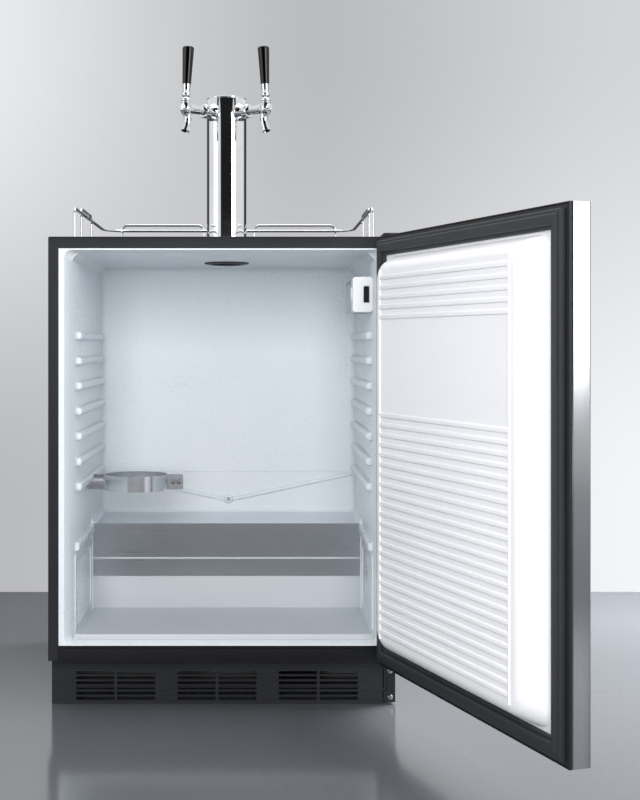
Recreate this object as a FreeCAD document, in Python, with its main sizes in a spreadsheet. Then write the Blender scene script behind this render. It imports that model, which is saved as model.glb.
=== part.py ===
import FreeCAD, Part
import math
import os
import Sketcher

# A two-tap beer cooler and dispenser, in millimetres.
# Every sub-part is drawn in cabinet coordinates: X to the right across the front, Y back from the
# front plane, Z up from the floor. One shared Placement then moves each of them forward, so that
# the origin of the part is on the floor under the middle of the kick grille.

Vector = FreeCAD.Vector
doc = FreeCAD.newDocument("beer_cooler")

SHEET = {
    # cabinet
    "cab_width": (600, "overall width of cabinet and door"),
    "cab_top": (813, "height of the top panel's upper face"),
    "cab_depth": (550, "front plane to back panel"),
    "body_base": (85, "height of the cabinet's underside"),
    "sheet": (1.2, "thickness of the painted sheets"),
    "top_sheet": (2, "thickness of the top panel"),
    "stile_width": (17.7, "front frame, width of its sides"),
    "head_width": (20, "front frame, height of its top"),
    "sill_height": (26, "height of the bottom rail"),
    "frame_depth": (6, "front frame, depth"),
    # liner
    "liner_wall": (2.5, "wall of the moulded liner"),
    "mouth_inset": (26, "cabinet side to the liner's mouth"),
    "side_foam": (38, "cabinet side to the liner's inside"),
    "floor_foam": (33, "cabinet underside to the liner's floor"),
    "head_foam": (27, "liner's ceiling to the top"),
    "back_foam": (70, "liner's back wall to the back panel"),
    "flare_depth": (22, "depth of the flare at the mouth"),
    "step_front": (297, "front plane to the riser of the step"),
    "step_top": (281, "height of the step's tread"),
    "room_round": (4, "corner radius of the liner's section"),
    "rib_head": (135, "top shelf rib to the ceiling"),
    "rib_tall": (15, "height of a shelf rib"),
    "rib_out": (12, "how far a shelf rib stands out"),
    "rib_low": (369, "underside of the lowest shelf rib"),
    "rib_front": (62, "front plane to the front of a rib"),
    "rib_rear_gap": (40, "back of a rib to the liner's back wall"),
    "rib_count": (7, "shelf ribs on a side"),
    "foam_under": (28, "foam between the step and the machine bay"),
    # steel covers
    "cover_gap": (4, "steel covers to the liner's side wall"),
    "cover_sheet": (1, "thickness of the stainless covers"),
    "tray_front": (18, "front plane to the floor tray's lip"),
    "tray_lip": (9, "height of the floor tray's lip"),
    # kick grille and base
    "kick_back": (47, "front plane to the middle of the kick grille"),
    "kick_wall": (6, "thickness of the kick grille"),
    "kick_inset": (22, "cabinet side to the right end of the kick grille"),
    "slot_end": (43.5, "last louvre to the right end of the grille"),
    "slot_gap": (39, "gap between groups of louvres"),
    "slot_margin": (42.5, "left end of the grille to the first louvre"),
    "slot_tall": (5.4, "height of one louvre"),
    "slot_pitch": (8.95, "spacing of the louvres"),
    "slot_low": (7, "height of the lowest louvre"),
    "slot_rows": (6, "rows of louvres"),
    "mullion": (5, "bar in the middle of each group"),
    "skirt_low": (10, "height of the base frame's underside"),
    "deck_height": (26, "height of the machine deck"),
    "foot_radius": (17, "radius of a levelling foot"),
    "foot_stem": (5, "radius of a foot's stem"),
    "foot_inset": (34, "side of the cabinet to a foot's axis"),
    "thread_gap": (0.08, "running clearance round pins and stems"),
    # door
    "door_under": (2, "door's upper edge under the top"),
    "door_thick": (29, "depth of the door's steel shell"),
    "door_front": (45, "front plane to the door's outer face"),
    "door_skin": (1, "thickness of the door's steel"),
    "door_rim": (4, "thickness of the door's inner frame"),
    "gasket_thick": (10.5, "thickness of the gasket"),
    "gasket_width": (26, "width of the gasket"),
    "gasket_inset": (8, "door edge to the gasket"),
    "panel_inset": (83, "door side to the ribbed field"),
    "panel_rise": (36, "how far the ribbed field stands behind the inner frame"),
    "door_rib": (8, "height of a rib on the door liner"),
    "door_rib_pitch": (16, "spacing of the door liner's ribs"),
    "hinge_inset": (14, "door side to the hinge axis"),
    "hinge_y": (-30, "front plane to the hinge axis"),
    "hinge_pin": (4, "radius of the hinge pins"),
    "hinge_plate": (3, "thickness of the hinge plates"),
    "bush_wall": (2.5, "wall of the door's hinge bushes"),
    "door_open": (108.5, "angle of the door as built"),
    # rail
    "wire": (2.65, "radius of the guard rail's wire"),
    "rail_inset": (41, "cabinet side to the side wire"),
    "rail_front": (30, "front plane to the rail's front posts"),
    "rail_rear": (45, "back panel to the back wire"),
    "rail_tall": (52, "height of the guard wire's centre over the top"),
    "rail_bend": (55, "bend radius at the rail's back corners"),
    "loop_tall": (64, "height of a loop's centre over the top"),
    "loop_bend": (11, "bend radius of posts and loops"),
    "loop_front": (160, "front plane to a side loop"),
    "loop_side": (150, "length of a side loop"),
    "loop_rear": (170, "length of a back loop"),
    "loop_corner": (36, "side wire to a back loop"),
    # tower and taps
    "tower_y": (300, "front plane to the tower's axis"),
    "tower_radius": (38.1, "radius of the tower"),
    "tower_wall": (1.6, "wall of the tower's tube"),
    "tower_tall": (288, "height of the tower's tube over the top"),
    "cap_rise": (7, "height of the cap's dome over the tube"),
    "line_bore": (29, "radius of the passage for beer lines"),
    "tap_height": (260, "height of the taps' shanks over the top"),
    "tap_angle": (45, "angle from the front to each tap"),
    "tap_reach": (106, "tower axis to the tap lever's pivot"),
    "shank": (11, "radius of a shank"),
    "lever_rise": (15, "shank axis up to the lever's pivot"),
    "shaft_rise": (0, "shank axis up to the valve shaft"),
    "shaft": (3.5, "radius of the valve shaft"),
    "handle_long": (71, "length of a handle"),
    "handle_lean": (3.4, "lean of lever and handle towards the tower, in degrees"),
    # drip tray
    "drip_half": (93, "half width of the drip tray"),
    "drip_front": (128, "front plane to the drip tray's front"),
    "drip_gap": (6, "drip tray to the tower"),
    "drip_tall": (6, "height of the drip tray"),
    # gas bottle clamp
    "bottle": (59, "radius of the gas bottle clamp's bore"),
    "band_wall": (1.5, "thickness of the clamp's band"),
    "band_low": (354, "height of the band's lower edge"),
    "band_tall": (28.5, "width of the band"),
    "band_stand": (92, "liner's side wall to the clamp's axis"),
    "band_y": (240, "front plane to the clamp's axis"),
    # lamp and control box
    "lamp_front": (60, "front plane to the control box"),
    "lamp_split": (110, "front plane to the joint of box and lens"),
    "lamp_back": (230, "front plane to the back of the lens"),
    "lamp_drop": (39, "ceiling to the control box"),
    "lamp_tall": (62, "height of the control box"),
    "lamp_out": (35, "how far the control box stands out from the wall"),
    "dial": (14, "radius of the thermostat dial"),
}

sheet = doc.addObject("Spreadsheet::Sheet", "Sizes")
for row, (alias, (number, note)) in enumerate(SHEET.items(), start=1):
    sheet.set(f"A{row}", alias)
    sheet.set(f"B{row}", str(number))
    sheet.set(f"C{row}", note)
    sheet.setAlias(f"B{row}", alias)
doc.recompute()


class Size:
    """A number together with the sheet expression that it comes from."""

    def __init__(self, value, text):
        self.value = value
        self.text = text

    def __add__(self, other):
        other = as_size(other)
        return Size(self.value + other.value, f"({self.text} + {other.text})")

    def __sub__(self, other):
        other = as_size(other)
        return Size(self.value - other.value, f"({self.text} - {other.text})")

    def __mul__(self, other):
        other = as_size(other)
        return Size(self.value * other.value, f"({self.text} * {other.text})")

    def __truediv__(self, other):
        other = as_size(other)
        return Size(self.value / other.value, f"({self.text} / {other.text})")

    def __neg__(self):
        return Size(-self.value, f"(0 - {self.text})")

    def __radd__(self, other):
        return as_size(other) + self

    def __rsub__(self, other):
        return as_size(other) - self

    def __rmul__(self, other):
        return as_size(other) * self


def as_size(number):
    """A Size from a Size or a plain number."""
    if isinstance(number, Size):
        return number
    return Size(float(number), f"{float(number):.6f}")


worked_out = {}


def dim(alias):
    """A named size: a cell of the sheet, or a size worked out from cells."""
    if alias in worked_out:
        return worked_out[alias]
    return Size(float(sheet.get(alias)), f"Sizes.{alias}")


def bind(thing, name, number):
    """Sets a property to a Size and keeps it tied to the sheet."""
    number = as_size(number)
    thing.setExpression(name, number.text)


# ---------------------------------------------------------------- outlines
def pin_point(sketch, item, position, x, y):
    """Ties one end of a sketch line to its two coordinates."""
    for kind, number in (("DistanceX", as_size(x)), ("DistanceY", as_size(y))):
        index = sketch.addConstraint(
            Sketcher.Constraint(kind, -1, 1, item, position, number.value)
        )
        sketch.setExpression(f"Constraints[{index}]", number.text)


def polygon(*corners):
    """A closed outline through the corners, each an (x, y) pair."""

    def draw(sketch):
        spots = [Vector(as_size(x).value, as_size(y).value, 0) for x, y in corners]
        first = sketch.GeometryCount
        count = len(corners)
        for i in range(count):
            sketch.addGeometry(Part.LineSegment(spots[i], spots[(i + 1) % count]), False)
        for i in range(count):
            sketch.addConstraint(
                Sketcher.Constraint("Coincident", first + i, 2, first + (i + 1) % count, 1)
            )
        for i, (x, y) in enumerate(corners):
            pin_point(sketch, first + i, 1, x, y)

    return draw


def rectangle(x0, y0, x1, y1):
    """A plain rectangle between two corners."""
    return polygon((x0, y0), (x1, y0), (x1, y1), (x0, y1))


def rounded(x0, y0, x1, y1, radius):
    """A rectangle with four equal round corners."""
    x0, y0, x1, y1, radius = (as_size(n) for n in (x0, y0, x1, y1, radius))
    ends = [
        ((x0 + radius, y0), (x1 - radius, y0)),
        ((x1, y0 + radius), (x1, y1 - radius)),
        ((x1 - radius, y1), (x0 + radius, y1)),
        ((x0, y1 - radius), (x0, y0 + radius)),
    ]
    centres = [(x1 - radius, y0 + radius), (x1 - radius, y1 - radius)]
    centres += [(x0 + radius, y1 - radius), (x0 + radius, y0 + radius)]

    def draw(sketch):
        first = sketch.GeometryCount
        for start, end in ends:
            a = Vector(start[0].value, start[1].value, 0)
            b = Vector(end[0].value, end[1].value, 0)
            sketch.addGeometry(Part.LineSegment(a, b), False)
        for i, (x, y) in enumerate(centres):
            circle = Part.Circle(Vector(x.value, y.value, 0), Vector(0, 0, 1), radius.value)
            start = (i - 1) * math.pi / 2
            sketch.addGeometry(Part.ArcOfCircle(circle, start, start + math.pi / 2), False)
        for i, (start, end) in enumerate(ends):
            pin_point(sketch, first + i, 1, *start)
            pin_point(sketch, first + i, 2, *end)
            sketch.addConstraint(
                Sketcher.Constraint("Coincident", first + 4 + i, 1, first + i, 2)
            )
            sketch.addConstraint(
                Sketcher.Constraint("Coincident", first + 4 + i, 2, first + (i + 1) % 4, 1)
            )
            index = sketch.addConstraint(
                Sketcher.Constraint("Radius", first + 4 + i, radius.value)
            )
            sketch.setExpression(f"Constraints[{index}]", radius.text)

    return draw


def circle(x, y, radius):
    """A full circle about (x, y)."""
    radius = as_size(radius)

    def draw(sketch):
        middle = Vector(as_size(x).value, as_size(y).value, 0)
        item = sketch.addGeometry(Part.Circle(middle, Vector(0, 0, 1), radius.value), False)
        pin_point(sketch, item, 3, x, y)
        index = sketch.addConstraint(Sketcher.Constraint("Radius", item, radius.value))
        sketch.setExpression(f"Constraints[{index}]", radius.text)

    return draw


# ---------------------------------------------------------------- pieces
PLANES = {"XY": "XY_Plane", "XZ": "XZ_Plane", "YZ": "YZ_Plane"}
made = []


def settle(thing, place):
    """Gives a sub-part its place: (x, y, z, turn about Z), all before the shared move forward."""
    x, y, z, turn = place
    thing.Placement.Rotation = FreeCAD.Rotation(Vector(0, 0, 1), as_size(turn).value)
    bind(thing, "Placement.Rotation.Angle", as_size(turn))
    bind(thing, "Placement.Base.x", x)
    bind(thing, "Placement.Base.y", as_size(y) - dim("kick_back"))
    bind(thing, "Placement.Base.z", z)


class Piece:
    """A PartDesign body that is built up feature by feature."""

    def __init__(self, label, place=(0, 0, 0, 0)):
        self.body = doc.addObject("PartDesign::Body", label)
        self.body.Label = label
        settle(self.body, place)
        made.append(self.body)

    def origin(self, role):
        """An origin plane or axis of this body."""
        return [f for f in self.body.Origin.OriginFeatures if f.Role == role][0]

    def sketch(self, plane, offset, outlines):
        """A sketch parallel to an origin plane, at an offset along that plane's normal."""
        sketch = self.body.newObject("Sketcher::SketchObject", "Outline")
        sketch.AttachmentSupport = [(self.origin(PLANES[plane]), "")]
        sketch.MapMode = "FlatFace"
        bind(sketch, "AttachmentOffset.Base.z", offset)
        for outline in outlines:
            outline(sketch)
        return sketch

    def add(self, plane, low, high, *outlines):
        """Pads the outlines from low to high along the plane's own world axis."""
        low, high = as_size(low), as_size(high)
        sketch = self.sketch(plane, -high if plane == "XZ" else low, outlines)
        pad = self.body.newObject("PartDesign::Pad", "Pad")
        pad.Profile = sketch
        bind(pad, "Length", high - low)
        return pad

    def cut(self, plane, low, high, *outlines):
        """Pockets the outlines from low to high along the plane's own world axis."""
        low, high = as_size(low), as_size(high)
        sketch = self.sketch(plane, -low if plane == "XZ" else high, outlines)
        pocket = self.body.newObject("PartDesign::Pocket", "Pocket")
        pocket.Profile = sketch
        bind(pocket, "Length", high - low)
        return pocket

    def turn(self, *outlines):
        """Revolves outlines of the XZ plane about the body's Z axis."""
        sketch = self.sketch("XZ", 0, outlines)
        round_part = self.body.newObject("PartDesign::Revolution", "Revolution")
        round_part.Profile = sketch
        round_part.ReferenceAxis = (sketch, ["V_Axis"])
        round_part.Angle = 360
        return round_part

    def repeat(self, features, axis, step, count):
        """Repeats features along an origin axis, count times in all."""
        pattern = self.body.newObject("PartDesign::LinearPattern", "Pattern")
        pattern.Originals = features
        pattern.Direction = (self.origin(f"{axis}_Axis"), [""])
        bind(pattern, "Length", as_size(step) * (as_size(count) - 1))
        bind(pattern, "Occurrences", count)
        self.body.Tip = pattern
        return pattern


def solid(label, shape, place=(0, 0, 0, 0)):
    """A sub-part whose shape is made by Part's own functions.

    A compound keeps the shape's own turn and shift, which the sub-part's Placement comes on top of.
    """
    thing = doc.addObject("Part::Feature", label)
    thing.Label = label
    thing.Shape = shape if shape.Placement.isIdentity() else Part.makeCompound([shape])
    settle(thing, place)
    made.append(thing)
    return thing


def bent_wire(points, bend, radius):
    """A round wire along straight runs that are joined by tangent arcs of one radius."""
    edges = []
    at = points[0]
    for i in range(1, len(points) - 1):
        back = (points[i - 1] - points[i]).normalize()
        onward = (points[i + 1] - points[i]).normalize()
        half = back.getAngle(onward) / 2
        reach = bend / math.tan(half)
        middle = points[i] + (back + onward).normalize() * (bend / math.sin(half))
        near = points[i] + back * reach
        far = points[i] + onward * reach
        top = middle + (points[i] - middle).normalize() * bend
        edges.append(Part.makeLine(at, near))
        edges.append(Part.Arc(near, top, far).toShape())
        at = far
    edges.append(Part.makeLine(at, points[-1]))
    path = Part.Wire(edges)
    profile = Part.Wire([Part.makeCircle(radius, points[0], points[1] - points[0])])
    return path.makePipeShell([profile], True, False)


def turned(steps, axis=Vector(0, 0, 1)):
    """A solid of revolution about an axis through the origin, from (radius, height) steps."""
    corners = [Vector(radius, 0, height) for radius, height in steps]
    face = Part.Face(Part.makePolygon(corners + corners[:1]))
    shape = face.revolve(Vector(0, 0, 0), Vector(0, 0, 1), 360)
    if axis != Vector(0, 0, 1):
        turn = FreeCAD.Rotation(Vector(0, 0, 1), axis)
        shape.Placement = FreeCAD.Placement(Vector(0, 0, 0), turn)
    return shape


def moved(shape, x=0, y=0, z=0, turn=0):
    """A copy of a shape, turned about Z and then shifted."""
    copy = shape.copy()
    spin = FreeCAD.Rotation(Vector(0, 0, 1), turn)
    copy.Placement = FreeCAD.Placement(Vector(x, y, z), spin).multiply(copy.Placement)
    return copy


def size(alias):
    """The plain value of a named cell, for shapes made by Part's own functions."""
    return dim(alias).value


# ---------------------------------------------------------------- shared places
half = dim("cab_width") / 2
top = dim("cab_top")
under_top = top - dim("top_sheet")
depth = dim("cab_depth")
sheet_wall = dim("sheet")
stile_in = half - dim("stile_width")
sill_top = dim("body_base") + dim("sill_height")
head_low = top - dim("head_width")
frame_back = dim("frame_depth")
wall = dim("liner_wall")
room = half - dim("side_foam")
floor = dim("body_base") + dim("floor_foam")
ceiling = top - dim("head_foam")
back = depth - dim("back_foam")
flare = dim("flare_depth")
mouth = half - dim("mouth_inset")
MOUTH_DROP = 5
mouth_low = floor - MOUTH_DROP
mouth_high = ceiling + MOUTH_DROP
riser = dim("step_front")
tread = dim("step_top")
worked_out["cover_half"] = room - dim("cover_gap")
worked_out["kick_right"] = half - dim("kick_inset")
worked_out["door_foot"] = dim("body_base")
worked_out["door_head"] = top - dim("door_under")
worked_out["hinge_x"] = half - dim("hinge_inset")
worked_out["rail_half"] = half - dim("rail_inset")
worked_out["rail_back"] = depth - dim("rail_rear")
worked_out["band_x"] = dim("band_stand") - room
worked_out["lamp_top"] = ceiling - dim("lamp_drop")
worked_out["lamp_low"] = dim("lamp_top") - dim("lamp_tall")
worked_out["lamp_inner"] = room - dim("lamp_out")
bay_front = riser + wall + dim("foam_under")
bay_roof = tread - wall - dim("foam_under")
tower_y = dim("tower_y")
BUSH_WALL = 3
bush_outer = dim("line_bore") + BUSH_WALL
EVAPORATOR = {"half": 150, "low": tread + 129, "high": ceiling - 86, "thick": 2}
DRAIN = {"radius": 3.5, "height": tread + 28, "back": 14, "slot": 6}
HINGE_SCREW = 2.5
HINGE_SCREW_Y = (16, 42)
hinge_screw_x = dim("hinge_x")
SCREW_DEEP = 12
LOWER_SCREW_Z = (12, 58)


# ---------------------------------------------------------------- cabinet
def make_cabinet():
    """Wrap, top, back, front frame and the insulation between wrap and liner."""
    wrap = Piece("cabinet_wrap")
    low = dim("body_base")
    wrap.add("XZ", frame_back, depth, polygon(
        (-half, low), (half, low), (half, under_top), (half - sheet_wall, under_top),
        (half - sheet_wall, low + sheet_wall), (sheet_wall - half, low + sheet_wall),
        (sheet_wall - half, under_top), (-half, under_top)))
    wrap.cut("XZ", bay_front, depth, rectangle(
        sheet_wall - half, low - 1, half - sheet_wall, low + sheet_wall))

    lid = Piece("top_panel")
    lid.add("XY", under_top, top, rounded(-half, 0, half, depth, 4))
    lid.cut("XY", under_top, top, circle(0, tower_y, dim("line_bore")),
            *[circle(hinge_screw_x, y, HINGE_SCREW) for y in HINGE_SCREW_Y])

    rear = Piece("back_panel")
    rear.add("XZ", depth - sheet_wall, depth, rectangle(
        sheet_wall - half, bay_roof, half - sheet_wall, under_top))

    frame = Piece("front_frame")
    frame.add("XZ", 0, frame_back, polygon(
        (-half, low), (-half, under_top), (half, under_top), (half, low),
        (stile_in, low), (stile_in, head_low), (-stile_in, head_low), (-stile_in, low)))

    rail = Piece("bottom_rail")
    rail.add("XZ", 0, frame_back, rectangle(-stile_in, low, stile_in, sill_top))

    foam = Piece("cabinet_foam")
    foam_half = half - sheet_wall
    foam.add("XZ", frame_back, depth - sheet_wall, rectangle(
        -foam_half, low + sheet_wall, foam_half, under_top))
    foam.cut("XZ", frame_back, flare, rectangle(
        -mouth - wall, mouth_low - wall, mouth + wall, mouth_high + wall))
    foam.cut("XZ", flare, riser + wall, rectangle(
        -room - wall, floor - wall, room + wall, ceiling + wall))
    foam.cut("XZ", riser + wall, back + wall, rectangle(
        -room - wall, tread - wall, room + wall, ceiling + wall))
    foam.cut("XZ", bay_front, depth, rectangle(
        -foam_half - 1, low, foam_half + 1, bay_roof))
    foam.cut("XY", ceiling + wall, under_top, circle(0, tower_y, bush_outer))
    foam.cut("XZ", back + wall, back + wall + EVAPORATOR["thick"], rectangle(
        -EVAPORATOR["half"], EVAPORATOR["low"], EVAPORATOR["half"], EVAPORATOR["high"]))
    foam.cut("YZ", -DRAIN["slot"], DRAIN["slot"], rectangle(
        back + wall, bay_roof, back + wall + DRAIN["back"] + DRAIN["slot"],
        DRAIN["height"] + DRAIN["slot"]))
    foam.cut("XY", top - SCREW_DEEP, under_top,
             *[circle(hinge_screw_x, y, HINGE_SCREW) for y in HINGE_SCREW_Y])


def make_liner():
    """The moulded inside of the cabinet, with shelf ribs, a ledge and a drain gutter."""
    liner = Piece("inner_liner")
    liner.add("XZ", 1, frame_back, rectangle(-stile_in, sill_top, stile_in, head_low))
    liner.add("XZ", frame_back, flare, rectangle(
        -mouth - wall, mouth_low - wall, mouth + wall, mouth_high + wall))
    liner.add("XZ", flare, back + wall, rectangle(
        -room - wall, floor - wall, room + wall, ceiling + wall))
    liner.cut("XZ", riser + wall, back + wall, rectangle(
        -room - wall - 1, floor - wall - 1, room + wall + 1, tread - wall))
    corner = dim("room_round")
    liner.cut("XZ", 0, riser, rounded(-room, floor, room, ceiling, corner))
    liner.cut("XZ", riser, back, rounded(-room, tread, room, ceiling, corner))
    near = liner.sketch("XZ", 0, [rounded(-mouth, mouth_low, mouth, mouth_high, corner)])
    far = liner.sketch("XZ", -flare, [rounded(-room, floor, room, ceiling, corner)])
    funnel = liner.body.newObject("PartDesign::SubtractiveLoft", "Flare")
    funnel.Profile = near
    funnel.Sections = [far]
    out = dim("rib_out")
    low = dim("rib_low")
    tall = dim("rib_tall")
    nose = 3
    pitch = (ceiling - dim("rib_head") - tall - low) / (dim("rib_count") - 1)
    ribs = liner.add("XZ", dim("rib_front"), back - dim("rib_rear_gap"), *[
        polygon((side * (room + 1), low), (side * (room - out), low + nose),
                (side * (room - out), low + tall - nose), (side * (room + 1), low + tall))
        for side in (-1, 1)])
    liner.repeat([ribs], "Z", pitch, dim("rib_count"))
    ledge = 8
    liner.add("XZ", dim("rib_front"), riser - dim("cover_sheet"), *[
        polygon((side * (room + 1), tread - 16), (side * (room - ledge), tread - 12),
                (side * (room - ledge), tread - 4), (side * (room + 1), tread - 2))
        for side in (-1, 1)])
    reach = room - 6
    gutter_out, gutter_tall = 9, 9
    gutter_end, gutter_middle = tread + 76, tread + 21
    liner.add("XZ", back - gutter_out, back + 1, polygon(
        (-reach, gutter_end + gutter_tall), (-reach, gutter_end), (0, gutter_middle),
        (reach, gutter_end), (reach, gutter_end + gutter_tall), (0, gutter_middle + gutter_tall)))
    band_gap, bracket_half = 2, 27
    band_y = dim("band_y")
    liner.cut("XZ", band_y - bracket_half, band_y + bracket_half, rectangle(
        -room, dim("band_low") - band_gap, out + 1 - room,
        dim("band_low") + dim("band_tall") + band_gap))
    liner.cut("XY", ceiling - 1, ceiling + wall, circle(0, tower_y, bush_outer))
    liner.cut("XZ", back - gutter_out, back + wall, circle(0, DRAIN["height"], DRAIN["radius"]))


def make_steel_covers():
    """The stainless cover over the step and the stainless tray on the floor."""
    thick = dim("cover_sheet")
    cover_half = dim("cover_half")
    step = Piece("step_cover")
    step.add("YZ", -cover_half, cover_half, polygon(
        (riser - thick, floor + thick), (riser, floor + thick), (riser, tread),
        (back - 10, tread), (back - 10, tread + thick), (riser - thick, tread + thick)))
    tray = Piece("floor_tray")
    lip = dim("tray_front")
    tray.add("YZ", -cover_half, cover_half, polygon(
        (lip, floor), (riser, floor), (riser, floor + thick), (lip + 14, floor + thick),
        (lip + 10, floor + dim("tray_lip")), (lip, floor + dim("tray_lip"))))
    tray.cut("YZ", -cover_half, cover_half, polygon(
        (lip + thick, floor - 1), (lip + 13, floor - 1),
        (lip + 9.5, floor + dim("tray_lip") - thick), (lip + thick, floor + dim("tray_lip") - thick)))


def make_line_bush():
    """The flanged bush that lines the passage for beer lines, with its ring in the ceiling."""
    bush = Piece("beer_line_bush", (0, tower_y, 0, 0))
    bore = dim("line_bore")
    rim = 11
    bush.turn(polygon((bore, ceiling - 4), (bore + rim + BUSH_WALL, ceiling - 4),
                      (bore + rim + BUSH_WALL, ceiling), (bore + BUSH_WALL, ceiling),
                      (bore + BUSH_WALL, under_top), (bore, under_top)))


# ---------------------------------------------------------------- lamp and control box
def make_lamp():
    """Housing on the right wall with lamp, lens, dial and light switch."""
    inner, low, high = dim("lamp_inner"), dim("lamp_low"), dim("lamp_top")
    front, split, end = dim("lamp_front"), dim("lamp_split"), dim("lamp_back")
    middle_z = (low + high) / 2
    middle_x = (inner + room) / 2
    middle_y = (front + split) / 2
    box = Piece("control_box")
    box.add("XZ", front, split, rounded(inner, low, room, high, 5))
    box.add("XZ", split - 1, split + 14, circle(middle_x, middle_z, 10))
    dial = dim("dial")
    box.cut("YZ", inner - 1, inner + 5, circle(middle_y, middle_z, dial + 0.6))
    spindle = 3
    box.cut("YZ", inner + 4, inner + 16, circle(middle_y, middle_z, spindle + dim("thread_gap")))
    box.cut("XZ", front, front + 6.5, rectangle(
        room - 16, middle_z - 15, room - 6, middle_z + 15))

    lens = Piece("lamp_lens")
    lens.add("XZ", split, end, rounded(inner, low, room, high, 5))
    lens.cut("XZ", split, end - 2, rounded(inner + 2, low + 2, room + 6, high - 2, 3))

    knob = Piece("thermostat_dial", (inner, middle_y, middle_z, 0))
    knob.add("YZ", -2, 4.7, circle(0, 0, dial))
    knob.add("YZ", 4, 14, circle(0, 0, spindle))
    knob.cut("YZ", -2, -1, rectangle(-1, dial / 2, 1, dial + 1))

    rocker = Piece("light_rocker", (room - 11, front, middle_z, 0))
    rocker.add("XZ", -1.5, 4, rectangle(-4.5, -14, 4.5, 14))

    base = split.value + 14
    length = end.value - 12 - base
    glass = turned([(0, 0), (6, 0), (8, 12), (13, 0.4 * length), (14, 0.62 * length),
                    (12, 0.85 * length), (7, 0.96 * length), (0, length)], Vector(0, 1, 0))
    solid("lamp_bulb", glass, (middle_x, base, middle_z, 0))


# ---------------------------------------------------------------- gas bottle clamp
def make_clamp():
    """The split band that holds the gas bottle, its wall bracket and its bolts."""
    x, y, low, tall = dim("band_x"), dim("band_y"), dim("band_low"), dim("band_tall")
    bore, thick = dim("bottle"), dim("band_wall")
    gap, tab = 1.2, 30
    band = Piece("gas_band", (x, y, 0, 0))
    band.turn(rectangle(bore, low, bore + thick, low + tall))
    for y0, y1 in ((gap, gap + thick), (-gap - thick, -gap)):
        band.add("XZ", y0, y1, rectangle(bore + thick / 3, low, bore + tab, low + tall))
    band.cut("XZ", -gap, gap, rectangle(bore - 3, low - 1, bore + 3, low + tall + 1))
    middle = low + tall / 2
    bolts_x = (bore + 11, bore + 22)
    bolt = 2.5
    band.cut("XZ", -gap - thick - 1, gap + thick + 1,
             *[circle(bolt_x, middle, bolt + 0.2) for bolt_x in bolts_x])

    bracket = Piece("gas_band_bracket", (x, y, 0, 0))
    inner = -room - x
    bracket.add("XY", low, low + tall, polygon(
        (inner, -24), (inner + thick, -24), (inner + thick, -thick / 2),
        (-bore - thick, -thick / 2), (-bore - thick, thick / 2),
        (inner + thick, thick / 2), (inner + thick, 24), (inner, 24)))

    reach = gap + size("band_wall")
    one = turned([(0, -reach - 3), (4.5, -reach - 3), (4.5, -reach), (bolt, -reach),
                  (bolt, reach), (4.2, reach), (4.2, reach + 3.5), (0, reach + 3.5)],
                 Vector(0, 1, 0))
    pair = [moved(one, bolt_x.value, 0, middle.value) for bolt_x in bolts_x]
    solid("gas_band_bolts", Part.makeCompound(pair), (x, y, 0, 0))


# ---------------------------------------------------------------- base and machine bay
def make_base():
    """Kick grille, base frame and feet."""
    low = dim("body_base")
    kick = dim("kick_back")
    thick = dim("kick_wall")
    grille = Piece("kick_grille")
    grille.add("XZ", kick - thick / 2, kick + thick / 2, rectangle(
        -half, 0, dim("kick_right"), low - 1))
    slots = []
    gap, bar = dim("slot_gap"), dim("mullion")
    width = (dim("kick_right") + half - dim("slot_margin") - dim("slot_end") - gap * 2) / 3
    for group in range(3):
        x0 = dim("slot_margin") - half + (width + gap) * group
        middle = x0 + width / 2
        z0, z1 = dim("slot_low"), dim("slot_low") + dim("slot_tall")
        slots.append(rectangle(x0, z0, middle - bar / 2, z1))
        slots.append(rectangle(middle + bar / 2, z0, x0 + width, z1))
    row = grille.cut("XZ", kick - thick / 2, kick + thick / 2, *slots)
    grille.repeat([row], "Z", dim("slot_pitch"), dim("slot_rows"))

    frame = Piece("base_frame")
    skirt, deck, plate = dim("skirt_low"), dim("deck_height"), 2
    start = kick + thick / 2 + 1
    frame.add("XZ", start, depth, polygon(
        (-half, skirt), (plate - half, skirt), (plate - half, deck), (half - plate, deck),
        (half - plate, skirt), (half, skirt), (half, low), (half - plate, low),
        (half - plate, deck + plate), (plate - half, deck + plate), (plate - half, low),
        (-half, low)))
    frame.add("XZ", kick - thick / 2 + 3, start + 1, rectangle(
        dim("kick_right") + 2, skirt, half, low - 5))
    stem, gap = dim("foot_stem"), dim("thread_gap")
    spots = foot_spots()
    frame.add("XY", skirt, deck + 1, *[circle(x, y, stem + 6) for x, y in spots.values()])
    frame.cut("XY", skirt, deck + plate,
              *[circle(x, y, stem + gap) for x, y in spots.values()])
    frame.cut("XZ", kick, start + 1, *[
        circle(half - 9, z, HINGE_SCREW) for z in LOWER_SCREW_Z])

    radius = size("foot_radius")
    disc, rise = 7, deck.value + plate + 6
    one = turned([(0, 0), (radius - 1.5, 0), (radius, 1.5), (radius, disc - 2),
                  (radius - 4, disc), (stem.value, disc), (stem.value, rise), (0, rise)])
    for name in ("front_left", "front_right"):
        x, y = spots[name]
        solid(f"levelling_foot_{name}", one, (x, y, 0, 0))
    rear = [moved(one, spots[name][0].value, spots[name][1].value)
            for name in ("rear_left", "rear_right")]
    solid("rear_feet", Part.makeCompound(rear))


def foot_spots():
    """The four feet's axes."""
    x = half - dim("foot_inset")
    front = dim("kick_back") + dim("kick_wall") / 2 + dim("foot_radius") + 6
    rear = depth - dim("foot_inset")
    return {"front_left": (-x, front), "front_right": (x, front),
            "rear_left": (-x, rear), "rear_right": (x, rear)}


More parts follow.
